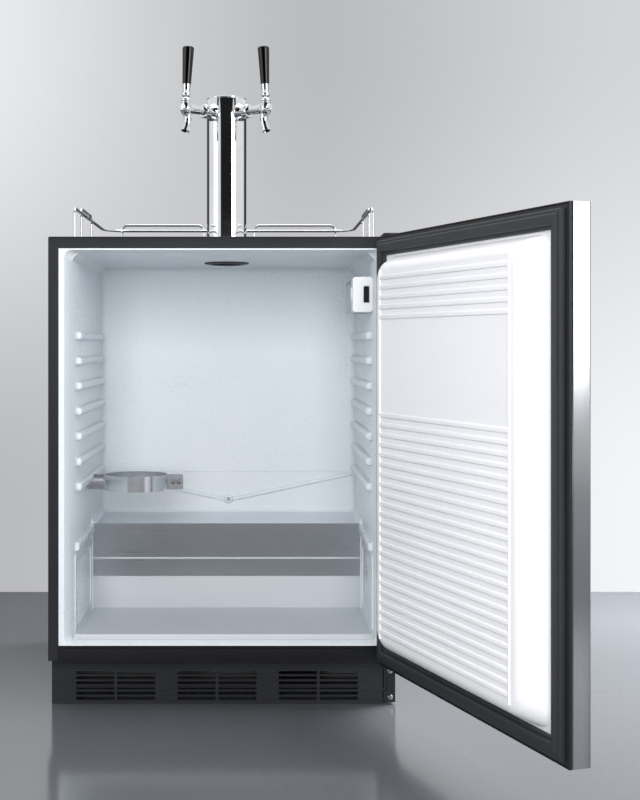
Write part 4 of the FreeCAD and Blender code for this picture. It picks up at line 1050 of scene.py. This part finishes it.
# ------------------------------------------------------------------ door
@dataclass
class Door:
    """The door, modelled shut and then swung open about its hinge axis."""

    half: float = 300.0
    low: float = 85.0
    high: float = 811.0
    face: float = -45.0
    shell_back: float = -16.0
    rim_back: float = -12.0
    seal_back: float = -1.5
    rise: float = 24.0
    hinge: tuple[float, float] = (286.0, -30.0)
    open_angle: float = 108.5
    seal_inset: float = 8.0
    seal_width: float = 26.0
    field_inset: float = 83.0
    rib_pitch: float = 16.0
    rib_width: float = 8.4
    rib_out: float = 1.9
    ribs_above: int = 5
    ribs_below: int = 23
    pad_half: float = 263.0
    pad_inset: float = 37.0
    pad_top: tuple[float, float] = (231.0, 310.0)
    pad_corner: float = 26.0
    pad_edge: float = 11.0
    border_wide: float = 3.4
    border_out: float = 2.4

    def build(self) -> None:
        """Builds, swings and dresses every piece of the door."""
        made = (
            (self.skin(), Finishes.BRUSHED_Z, "door_stainless", "door_skin"),
            (self.inner_frame(), Finishes.BLACK_PLASTIC, "black_plastic", "door_inner_frame"),
            (self.gasket(), Finishes.GASKET, "gasket_rubber", "door_gasket"),
            (self.liner(), Finishes.DOOR_WHITE, "door_white", "door_liner"),
        )
        pivot = at(*self.hinge, 0)
        swing = (Matrix.Translation(pivot) @ Matrix.Rotation(math.radians(self.open_angle), 4, "Z")
                 @ Matrix.Translation(-pivot))
        for piece, finish, slot, node in made:
            dress(smooth(place(piece, swing)), "door", finish, slot, node)

    def slab(self, inset: float, front: float, rear: float) -> Piece:
        """A box with the door's outline, a distance inside its edges, between two depths."""
        return block("slab", at(-self.half + inset, front, self.low + inset),
                     at(self.half - inset, rear, self.high - inset))

    def ring(
        self, outer: float, inner: float, front: float, rear: float, edge: float, segments: int = 4
    ) -> Piece:
        """A frame round the door between two insets.

        Args:
            outer: Inset of its outer edge in millimetres.
            inner: Inset of its inner edge.
            front: Its front depth.
            rear: Its rear depth.
            edge: Radius of its rear edges.
            segments: Segments across an edge.

        Returns:
            The ring.
        """
        piece = self.slab(outer, front, rear)
        carve(piece, [self.slab(inner, front - 5, rear + 5)])
        limit = at(0, rear - 0.05, 0).y
        return bevel_edges(piece, lambda middle, way: middle.y > limit, edge * MM, segments)

    def skin(self) -> Piece:
        """The folded steel skin, open at the back."""
        shell = self.slab(0, self.face, self.shell_back)
        bevel_edges(shell, lambda middle, way: abs(way.z) > 0.9, 3 * MM, 6)
        bore = lathe("pin_bore", [(0, -2), (0.0066, -2), (0.0066, 2), (0, 2)], 32)
        place(bore, Matrix.Translation(at(*self.hinge, 0)))
        carve(shell, [self.slab(1, self.face + 1, 5), bore])
        shell.name = "door_skin_folded"
        return round_edges(shell, 0.35 * MM, 2)

    def inner_frame(self) -> Piece:
        """The black frame behind the skin: an outer bead, a groove and the seat of the gasket."""
        seat = self.ring(3.2, 21, self.shell_back, self.rim_back, 0.8)
        bead = self.ring(0, 2.6, self.shell_back, self.rim_back, 1.1)
        back_plate = self.ring(0.2, 20, self.shell_back, self.shell_back + 2.2, 0.2, 1)
        return join("door_frame_beaded", [seat, bead, back_plate])

    def gasket(self) -> Piece:
        """The gasket: a wide foot, a bellows fold and a rounded magnet pocket."""
        edge, wide = self.seal_inset, self.seal_width
        foot = self.ring(edge + 0.6, edge + wide - 0.4, self.rim_back, self.rim_back + 3.4, 1.4)
        fold = self.ring(edge, edge + 8.5, self.rim_back + 1.2, self.seal_back - 2.6, 3.2, 6)
        pocket = self.ring(edge + 5.5, edge + wide - 5, self.rim_back + 2, self.seal_back, 3.4, 6)
        lip = self.ring(edge + wide - 6.5, edge + wide, self.rim_back, self.rim_back + 5.2, 2.2, 5)
        return join("door_gasket_bellows", [foot, fold, pocket, lip])

    def liner(self) -> Piece:
        """The white liner: a drafted panel with a broad soft edge, and blocks of shelf ribs."""
        base = self.ring(21, 60, self.shell_back, self.rim_back, 0.3, 1)
        wide, tall = self.pad_half, (self.high - self.low) / 2 - self.pad_inset
        pad = block("pad", at(-wide, self.rim_back - 1, self.low + self.pad_inset),
                    at(wide, self.rise, self.high - self.pad_inset))
        pick(pad, lambda centre, normal: normal.y > 0.9)
        bpy.ops.object.mode_set(mode="EDIT")
        middle = at(0, self.rise, (self.low + self.high) / 2)
        top_wide, top_tall = self.pad_top
        bpy.ops.transform.resize(value=(top_wide / wide, 1, top_tall / tall), center_override=middle)
        bpy.ops.object.mode_set(mode="OBJECT")
        rim = at(0, self.rim_back + 2, 0).y
        bevel_edges(pad, lambda m, way: m.y > rim and abs(way.y) > 0.5, self.pad_corner * MM, 10)
        top = at(0, self.rise - 0.5, 0).y
        bevel_edges(pad, lambda m, way: m.y > top, self.pad_edge * MM, 8)
        x1 = self.half - self.field_inset - 4
        foot, head = self.low + 60, self.high - 60
        lows = [head - self.rib_pitch * (self.ribs_above - row) - 3 for row in range(self.ribs_above)]
        lows += [foot + 12 + self.rib_pitch * row for row in range(self.ribs_below)]
        parts = [base, pad]
        crest = at(0, self.rise + 1.5, 0).y
        for low in lows:
            bar = block("bar", at(-x1, self.rise - 3, low),
                        at(x1, self.rise + self.rib_out, low + self.rib_width))
            parts.append(bevel_edges(bar, lambda m, way: m.y > crest, 2.3 * MM, 4))
        for x in (-x1, x1 - self.border_wide):
            border = block("border", at(x, self.rise - 3, foot + 4),
                           at(x + self.border_wide, self.rise + self.border_out, head - 2))
            parts.append(bevel_edges(border, lambda m, way: m.y > crest, 1.5 * MM, 4))
        return join("door_liner_ribbed", parts)


# ------------------------------------------------------------------ guard rail
@dataclass
class GuardRail:
    """The wire guard and its raised loops, bent from one size of wire."""

    top: float = 813.0
    radius: float = 2.65
    half: float = 259.0
    front: float = 30.0
    rear: float = 505.0
    tall: float = 52.0
    corner: float = 55.0
    loop_tall: float = 64.0
    loop_side: tuple[float, float] = (160.0, 310.0)
    loop_back: tuple[float, float] = (53.0, 223.0)
    bend: float = 11.0

    def build(self) -> None:
        """Builds and dresses the wires."""
        join_y = self.rear - self.corner - 8
        height = self.top + self.tall
        sides, loops = [], []
        out = self.half + 2 * self.radius
        behind = self.rear + 2 * self.radius
        high = self.top + self.loop_tall
        for side in (-1, 1):
            x = side * self.half
            sides.append(self.run((x, self.front, self.top), (x, self.front, height), (x, join_y, height)))
            x = side * out
            a, b = self.loop_side
            loops.append(self.run((x, a, self.top), (x, a, high), (x, b, high), (x, b, self.top)))
            a, b = (side * place_along for place_along in self.loop_back)
            loops.append(self.run((a, behind, self.top), (a, behind, high), (b, behind, high),
                                  (b, behind, self.top)))
        back = wire("guard_back_wire", [
            at(-self.half, join_y, height), at(-self.half, self.rear, height),
            at(self.half, self.rear, height), at(self.half, join_y, height),
        ], self.corner * MM, self.radius * MM)
        for name, parts, node in (
            ("guard_side_wires", sides, "guard_rail_sides"), ("guard_back_wire", [back], "guard_rail_back"),
            ("guard_loop_wires", loops, "guard_loops"),
        ):
            dress(smooth(join(name, parts), 50), "cabinet", Finishes.CHROME, "chrome", node)

    def run(self, *corners: Point) -> Piece:
        """One bent wire through corners in cabinet millimetres, with collars at its feet."""
        rod = wire("rod", [at(*corner) for corner in corners], self.bend * MM, self.radius * MM)
        feet = [rod]
        for x, y, z in (corners[0], corners[-1]):
            if z == self.top:
                collar = lathe("collar", [
                    (0, 0), (5.2 * MM, 0), (5.2 * MM, 0.8 * MM), (4.0 * MM, 1.9 * MM), (2.6 * MM, 2.3 * MM),
                    (0, 2.3 * MM)], 24)
                feet.append(place(collar, Matrix.Translation(at(x, y, z))))
        return join("rod", feet)


# ------------------------------------------------------------------ tower and taps
@dataclass
class Tower:
    """The chrome column with its domed cap and two taps set square to each other."""

    top: float = 813.0
    axis_y: float = 300.0
    radius: float = 38.1
    tall: float = 288.0
    cap: float = 7.0
    tap_height: float = 260.0
    reach: float = 106.0
    rise: float = 15.0
    lean: float = 3.4

    def build(self) -> None:
        """Builds and dresses the column, the cap and both taps."""
        dress(self.column(), "cabinet", Finishes.CHROME, "chrome", "tower_column")
        dress(self.cap_dome(), "cabinet", Finishes.CHROME, "chrome", "tower_cap")
        flanges, nuts, bonnets = [], [], []
        for side, turn in (("left", 225), ("right", 315)):
            stand = Matrix.Translation(at(0, self.axis_y, self.top + self.tap_height))
            spin = stand @ Matrix.Rotation(math.radians(turn), 4, "Z")
            flanges.append(place(self.shank(), spin))
            nuts.append(place(self.coupling_nut(), spin))
            bonnets.append(place(self.bonnet(), spin))
            dress(smooth(place(self.body(), spin), 40), "cabinet", Finishes.CHROME, "chrome",
                  f"tap_body_{side}").name = f"tap_body_cast_{side}"
            lever = place(self.lever(), spin)
            dress(smooth(lever, 40), f"{side}_tap_lever", Finishes.CHROME, "chrome",
                  f"tap_lever_{side}").name = f"tap_lever_turned_{side}"
            handle = place(self.handle(), spin)
            dress(smooth(handle, 40), f"{side}_tap_lever", Finishes.HANDLE_BLACK, "handle_black",
                  f"tap_handle_{side}").name = f"tap_handle_turned_{side}"
        for name, parts, node in (
            ("tap_shanks_turned", flanges, "tap_shanks"), ("coupling_nuts_lobed", nuts, "coupling_nuts"),
            ("tap_bonnets_turned", bonnets, "tap_bonnets"),
        ):
            dress(smooth(join(name, parts), 40), "cabinet", Finishes.CHROME, "chrome", node)

    def turned(self, name: str, profile: Sequence[tuple[float, float]], steps: int = 48) -> Piece:
        """A turned piece from (radius, height) in millimetres."""
        return lathe(name, [(radius * MM, height * MM) for radius, height in profile], steps)

    def column(self) -> Piece:
        """The tube, with a fine foot ring and a crimped upper edge."""
        r, low, high = self.radius, self.top, self.top + self.tall
        tube = self.turned("tower_column_polished", [
            (r - 1.6, low), (r - 0.4, low), (r, low + 0.4), (r, low + 60), (r, low + 120), (r, low + 180),
            (r, low + 240), (r, high - 0.5), (r - 0.3, high), (r - 1.6, high), (r - 1.6, low)], 96)
        return smooth(place(tube, Matrix.Translation(at(0, self.axis_y, 0))), 40)

    def cap_dome(self) -> Piece:
        """The cap: a thin rim above a shadow line, and a dome drawn as an arc."""
        r, low = self.radius, self.top + self.tall
        ball = (r * r + self.cap * self.cap) / (2 * self.cap)
        span = math.asin((r - 1.2) / ball)
        centre = low + 2 + self.cap - ball
        turns = [span * (1 - i / 12) for i in range(13)]
        arc = [(ball * math.sin(turn), centre + ball * math.cos(turn)) for turn in turns]
        profile = [(0, low), (r - 0.9, low), (r - 0.9, low + 0.6), (r - 0.3, low + 0.7), (r, low + 1.2),
                   (r - 0.1, low + 2.0), *arc[:-1], (0, low + 2 + self.cap)]
        return smooth(place(self.turned("tower_cap_domed", profile, 96),
                            Matrix.Translation(at(0, self.axis_y, 0))), 40)

    def shank(self) -> Piece:
        """The shank and its cone flange against the column, along +X."""
        r = self.radius
        profile = [(0, 22), (11, 22), (11, r - 6), (12, r - 3), (17, r - 1.5), (17, r + 1.0), (16.4, r + 2.2),
                   (14.6, r + 5.4), (13.0, r + 8.2), (12.3, r + 9), (11, r + 9), (11, r + 19), (0, r + 19)]
        return place(self.turned("shank", profile), turned_to((1, 0, 0), (0, 0, 0)))

    def coupling_nut(self) -> Piece:
        """The coupling nut with six finger lobes."""
        start = self.radius + 11
        nut = self.turned("nut", [
            (11.2, start), (12.2, start), (13.1, start + 0.7), (13.4, start + 1.6), (13.4, start + 11.4),
            (13.1, start + 12.3), (12.2, start + 13), (8.4, start + 13), (8.4, start + 10.6),
            (11.2, start + 10.5), (11.2, start)], 72)
        grooves = []
        for step in range(6):
            groove = self.turned("groove", [
                (0, start - 2), (2.1, start - 2), (2.1, start + 15), (0, start + 15)], 16)
            angle = math.radians(step * 60)
            spot = (14.3 * MM * math.cos(angle), 14.3 * MM * math.sin(angle), 0)
            grooves.append(place(groove, Matrix.Translation(spot)))
        carve(nut, grooves)
        return place(nut, turned_to((1, 0, 0), (0, 0, 0)))

    def body(self) -> Piece:
        """The cast body: cone barrel, valve seat, nose and a spout that swells at its tip."""
        r, reach = self.radius, self.reach
        barrel = place(self.turned("barrel", [
            (0, r + 19), (8.2, r + 19), (8.2, r + 21), (7.4, r + 24), (7.5, r + 27), (8.6, reach - 17),
            (9.4, reach - 11), (9.2, reach), (0, reach)]), turned_to((1, 0, 0), (0, 0, 0)))
        seat = place(self.turned("seat", [
            (0, -12), (6.4, -12), (8.6, -9.4), (10.2, -5.4), (10.6, -1), (10.4, 3), (9.3, 6.4), (8.9, 9),
            (0, 9)]),
            Matrix.Translation((reach * MM, 0, 0)))
        nose = place(self.turned("nose", [
            (0, reach), (7, reach), (7, reach + 7.4), (6.7, reach + 10.8), (5.8, reach + 12.6),
            (4.0, reach + 13.2), (0, reach + 13.2)]), turned_to((1, 0, 0), (0, 0, 0)))
        spout = self.spout()
        carve(barrel, [seat, nose, spout], "UNION")
        slot = block("slot", ((reach - 10) * MM, -0.0028, -0.001), ((reach + 4) * MM, 0.0028, 0.016))
        well = place(self.turned("well", [(0, 4), (6.5, 4), (6.5, 30), (0, 30)]),
                     Matrix.Translation((reach * MM, 0, 0)))
        carve(barrel, [slot, well])
        return name_piece(barrel, "tap_body_cast")

    def spout(self) -> Piece:
        """The spout: a curve of changing radius, bored out at its tip."""
        reach = self.reach
        knots = ((reach + 1.0, -1.0, 7.9), (reach - 3.4, -10.0, 7.6), (reach - 5.0, -20.0, 7.2),
                 (reach - 3.0, -31.0, 7.0), (reach + 0.6, -39.5, 7.7), (reach + 2.0, -43.5, 8.0))
        curve = bpy.data.curves.new("spout", "CURVE")
        curve.dimensions = "3D"
        curve.bevel_depth = MM
        curve.bevel_resolution = 8
        curve.resolution_u = 8
        curve.use_fill_caps = True
        spline = curve.splines.new("NURBS")
        spline.points.add(len(knots) - 1)
        for point, (x, z, radius) in zip(spline.points, knots):
            point.co = (x * MM, 0, z * MM, 1)
            point.radius = radius
        spline.order_u = 3
        spline.use_endpoint_u = True
        pipe = bpy.data.objects.new("spout", curve)
        bpy.context.scene.collection.objects.link(pipe)
        focus(pipe)
        bpy.ops.object.convert(target="MESH")
        pipe = bpy.context.object
        reshape(pipe, lambda: (bpy.ops.mesh.remove_doubles(threshold=0.00001),
                               bpy.ops.mesh.normals_make_consistent(inside=False)))
        low_cut = self.turned("bore_mouth", [(0, -50), (5.4, -50), (5.4, -36), (0, -36)], 32)
        place(low_cut, Matrix.Translation(((reach + 1.4) * MM, 0, 0)))
        return carve(pipe, [low_cut])

    def bonnet(self) -> Piece:
        """The lower collar round the lever's ball."""
        z = self.rise
        ring_piece = self.turned("bonnet", [
            (6.6, z - 6), (8.6, z - 6), (9, z - 5.4), (9, z - 3.2), (8.5, z - 2.6), (9, z - 2.0),
            (9, z + 1.2), (8.4, z + 2.6), (7.4, z + 3.6), (6.6, z + 3.6), (6.6, z - 6)])
        return place(ring_piece, Matrix.Translation((self.reach * MM, 0, 0)))

    def tilt(self) -> Matrix:
        """The lean of the lever about its pivot."""
        return (Matrix.Translation((self.reach * MM, 0, self.rise * MM))
                @ Matrix.Rotation(math.radians(-self.lean), 4, "Y"))

    def lever(self) -> Piece:
        """The lever: stem, ball, neck, collar and the chrome ferrule under the handle."""
        profile = [
            (0, -15), (2.0, -15), (2.2, -14.6), (2.2, -5.0), (4.2, -3.6), (5.2, -1.8), (5.5, 0), (5.2, 1.8),
            (4.4, 3.4), (3.2, 4.6), (3.0, 7), (6.4, 7), (7.2, 7.6), (7.6, 8.6), (7.6, 12.6), (7.1, 13.8),
            (6.1, 14.5), (6.0, 15.2), (6.3, 16.2), (6.5, 19), (7.5, 29.4), (7.5, 30), (0, 30)]
        return place(self.turned("tap_lever_turned", profile, 64), self.tilt())

    def handle(self) -> Piece:
        """The tapered handle with a soft shoulder and a rounded crown."""
        profile = [
            (0, 30), (7.6, 30), (7.95, 30.5), (8.1, 32), (8.8, 50), (9.8, 75), (10.8, 96), (10.95, 98.4),
            (10.6, 99.9), (9.6, 100.8), (7.6, 101), (0, 101)]
        return place(self.turned("tap_handle_turned", profile, 64), self.tilt())


# ------------------------------------------------------------------ gas bottle clamp
@dataclass
class GasClamp:
    """The steel band for the gas bottle, its bracket and its bolts."""

    axis: tuple[float, float] = (-170.0, 240.0)
    bore: float = 59.0
    thick: float = 1.5
    low: float = 354.0
    tall: float = 28.5
    wall_x: float = -262.0

    def build(self) -> None:
        """Builds and dresses the clamp."""
        dress(self.band(), "cabinet", Finishes.BRUSHED_BAND, "stainless", "gas_band")
        dress(self.bracket(), "cabinet", Finishes.BRUSHED_BAND, "stainless", "gas_band_bracket")

    def band(self) -> Piece:
        """The rolled band with its two ears."""
        x, y = self.axis
        high = self.low + self.tall
        outer = self.bore + self.thick
        hoop = lathe("gas_band_rolled", [
            (self.bore * MM, self.low * MM), (outer * MM, self.low * MM), (outer * MM, (self.low + 14) * MM),
            (outer * MM, high * MM), (self.bore * MM, high * MM), (self.bore * MM, self.low * MM)], 96)
        place(hoop, Matrix.Translation(at(x, y, 0)))
        gap = block("gap", at(x + self.bore - 4, y - 1.2, self.low - 2), at(x + outer + 4, y + 1.2, high + 2))
        ears = []
        for y0, y1 in ((1.2, 2.7), (-2.7, -1.2)):
            ear = block("ear", at(x + self.bore + 0.5, y + y0, self.low),
                        at(x + self.bore + 30, y + y1, high))
            far = at(x + self.bore + 29, 0, 0).x
            bevel_edges(ear, lambda m, way: abs(way.y) > 0.9 and m.x > far, 3 * MM, 5)
            ears.append(ear)
        carve(hoop, [gap])
        carve(hoop, ears, "UNION")
        round_edges(hoop, 0.3 * MM, 2)
        return smooth(hoop, 40)

    def bracket(self) -> Piece:
        """The bent wall bracket."""
        x, y = self.axis
        high = self.low + self.tall
        plate = block("gas_bracket_bent", at(self.wall_x, y - 24, self.low),
                      at(self.wall_x + self.thick, y + 24, high))
        arm = block("arm", at(self.wall_x, y - self.thick / 2, self.low),
                    at(x - self.bore - self.thick, y + self.thick / 2, high))
        carve(plate, [arm], "UNION")
        return smooth(round_edges(plate, 0.3 * MM, 2), 40)


# ------------------------------------------------------------------ lamp housing, bush and drip tray
@dataclass
class Fittings:
    """The lamp's fluted lens, the ceiling bush, the drip tray and its grate."""

    top: float = 813.0
    ceiling: float = 786.0
    tower_y: float = 300.0

    def build(self) -> None:
        """Builds and dresses the fittings."""
        dress(self.lens(), "cabinet", Finishes.LENS, "lamp_clear", "lamp_lens")
        dress(self.bush(), "cabinet", Finishes.BLACK_PLASTIC, "black_plastic", "beer_line_bush")
        dress(self.tray(), "tray", Finishes.BRUSHED_X, "stainless", "drip_tray")
        dress(self.grate(), "grate", Finishes.BRUSHED_X, "stainless", "drip_grate")

    def lens(self) -> Piece:
        """The lens: a thin box, open at its front, with flutes along its sides."""
        cover = cutter((227, 110, 685), (262, 230, 747), 5, 1)
        cover.name = "lamp_lens_fluted"
        inside = cutter((229, 100, 687), (268, 228, 745), 3, 1)
        flutes = []
        for row in range(12):
            low = 690 + row * 4.4
            flutes.append(block("flute", at(226, 114, low), at(227.8, 226, low + 2.0)))
        carve(cover, [inside, join("flutes", flutes)])
        round_edges(cover, 0.35 * MM, 2, 50)
        return smooth(cover, 40)

    def bush(self) -> Piece:
        """The ceiling bush with a stepped flange."""
        low = self.ceiling
        ring_piece = lathe("line_bush_flanged", [
            (r * MM, z * MM) for r, z in (
                (29, low - 3.4), (29.6, low - 4), (33, low - 4), (33.8, low - 3.2), (40.8, low - 2.6),
                (42.4, low - 2.2), (43, low - 1.4), (43, low), (32, low), (32, self.top - 2),
                (29, self.top - 2), (29, low - 3.4))], 72)
        return smooth(place(ring_piece, Matrix.Translation(at(0, self.tower_y, 0))), 40)

    def tray(self) -> Piece:
        """The shallow tray, pressed with round corners and a ledge for the grate."""
        x, front, rear, low, high = 93.0, 128.0, 255.9, self.top, self.top + 6
        pan = cutter((-x, front, low), (x, rear, high), 10, 2)
        pan.name = "drip_tray_pressed"
        ledge = cutter((-x + 2, front + 2, high - 2), (x - 2, rear - 2, high + 5), 8, 2)
        well = cutter((-x + 5, front + 5, low + 1), (x - 5, rear - 5, high + 5), 5, 2)
        carve(pan, [ledge, well])
        return smooth(round_edges(pan, 0.5 * MM, 3, 50), 50)

    def grate(self) -> Piece:
        """The grate with a row of round-ended slots."""
        x, front, rear, low = 90.6, 130.4, 253.5, self.top + 4
        plate = cutter((-x, front, low), (x, rear, low + 1.2), 7.6, 2)
        plate.name = "drip_grate_slotted"
        slots = []
        for row in range(14):
            middle = -78 + 12 * row
            slots.append(cutter((middle - 2.5, 140, low - 3), (middle + 2.5, 243.9, low + 4), 2.45, 2))
        carve(plate, [join("slots", slots)])
        return smooth(round_edges(plate, 0.25 * MM, 2, 50), 50)


# ------------------------------------------------------------------ pieces softened from the CAD
@dataclass(frozen=True)
class Softened:
    """A CAD node whose copy gets worn edges, with its body, finish and slot."""

    node: str
    body: str
    finish: Finishes
    slot: str
    edge: float

    def build(self) -> None:
        """Copies the node, merges it, rounds its edges and dresses it."""
        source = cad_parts[self.node]
        mesh = source.data.copy()
        piece = bpy.data.objects.new(f"{self.node}_soft", mesh)
        bpy.context.scene.collection.objects.link(piece)
        reshape(piece, lambda: (
            bpy.ops.mesh.customdata_custom_splitnormals_clear(),
            bpy.ops.mesh.remove_doubles(threshold=0.00002),
            bpy.ops.mesh.dissolve_limited(angle_limit=math.radians(2)),
        ))
        name_piece(piece, f"{self.node}_soft")
        round_edges(piece, self.edge * MM, 3, 40)
        dress(smooth(piece, 40), self.body, self.finish, self.slot, self.node)


class SoftenedSet:
    """Every node that is softened."""

    def build(self) -> None:
        """Builds them in order."""
        for item in (
            Softened("control_box", "cabinet", Finishes.WHITE_PLASTIC, "white_plastic", 1.2),
            Softened("light_rocker", "light_switch", Finishes.BLACK_PLASTIC, "black_plastic", 0.5),
            Softened("thermostat_dial", "dial", Finishes.WHITE_PLASTIC, "white_plastic", 0.5),
            Softened("hinge_bracket_lower", "cabinet", Finishes.POWDER_COAT, "black_painted_steel", 0.4),
            Softened("hinge_plate_upper", "cabinet", Finishes.POWDER_COAT, "black_painted_steel", 0.5),
            Softened("gas_band_bolts", "cabinet", Finishes.ZINC, "zinc_steel", 0.25),
            Softened("hinge_screws", "cabinet", Finishes.ZINC, "zinc_steel", 0.25),
            Softened("power_inlet", "cabinet", Finishes.BLACK_PLASTIC, "black_plastic", 0.6),
        ):
            item.build()


ASSEMBLIES = (CabinetShell, Liner, SteelCovers, Door, GuardRail, Tower, GasClamp, Fittings, SoftenedSet)


def main() -> None:
    """Builds the studio and every sub-assembly in order."""
    logging.basicConfig(level=logging.INFO, format="%(name)s: %(message)s")
    bpy.context.scene.view_settings.view_transform = "Standard"
    Studio().build()
    dress_cad_nodes()
    for assembly in ASSEMBLIES:
        assembly().build()
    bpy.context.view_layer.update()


if __name__ == "__main__":
    main()
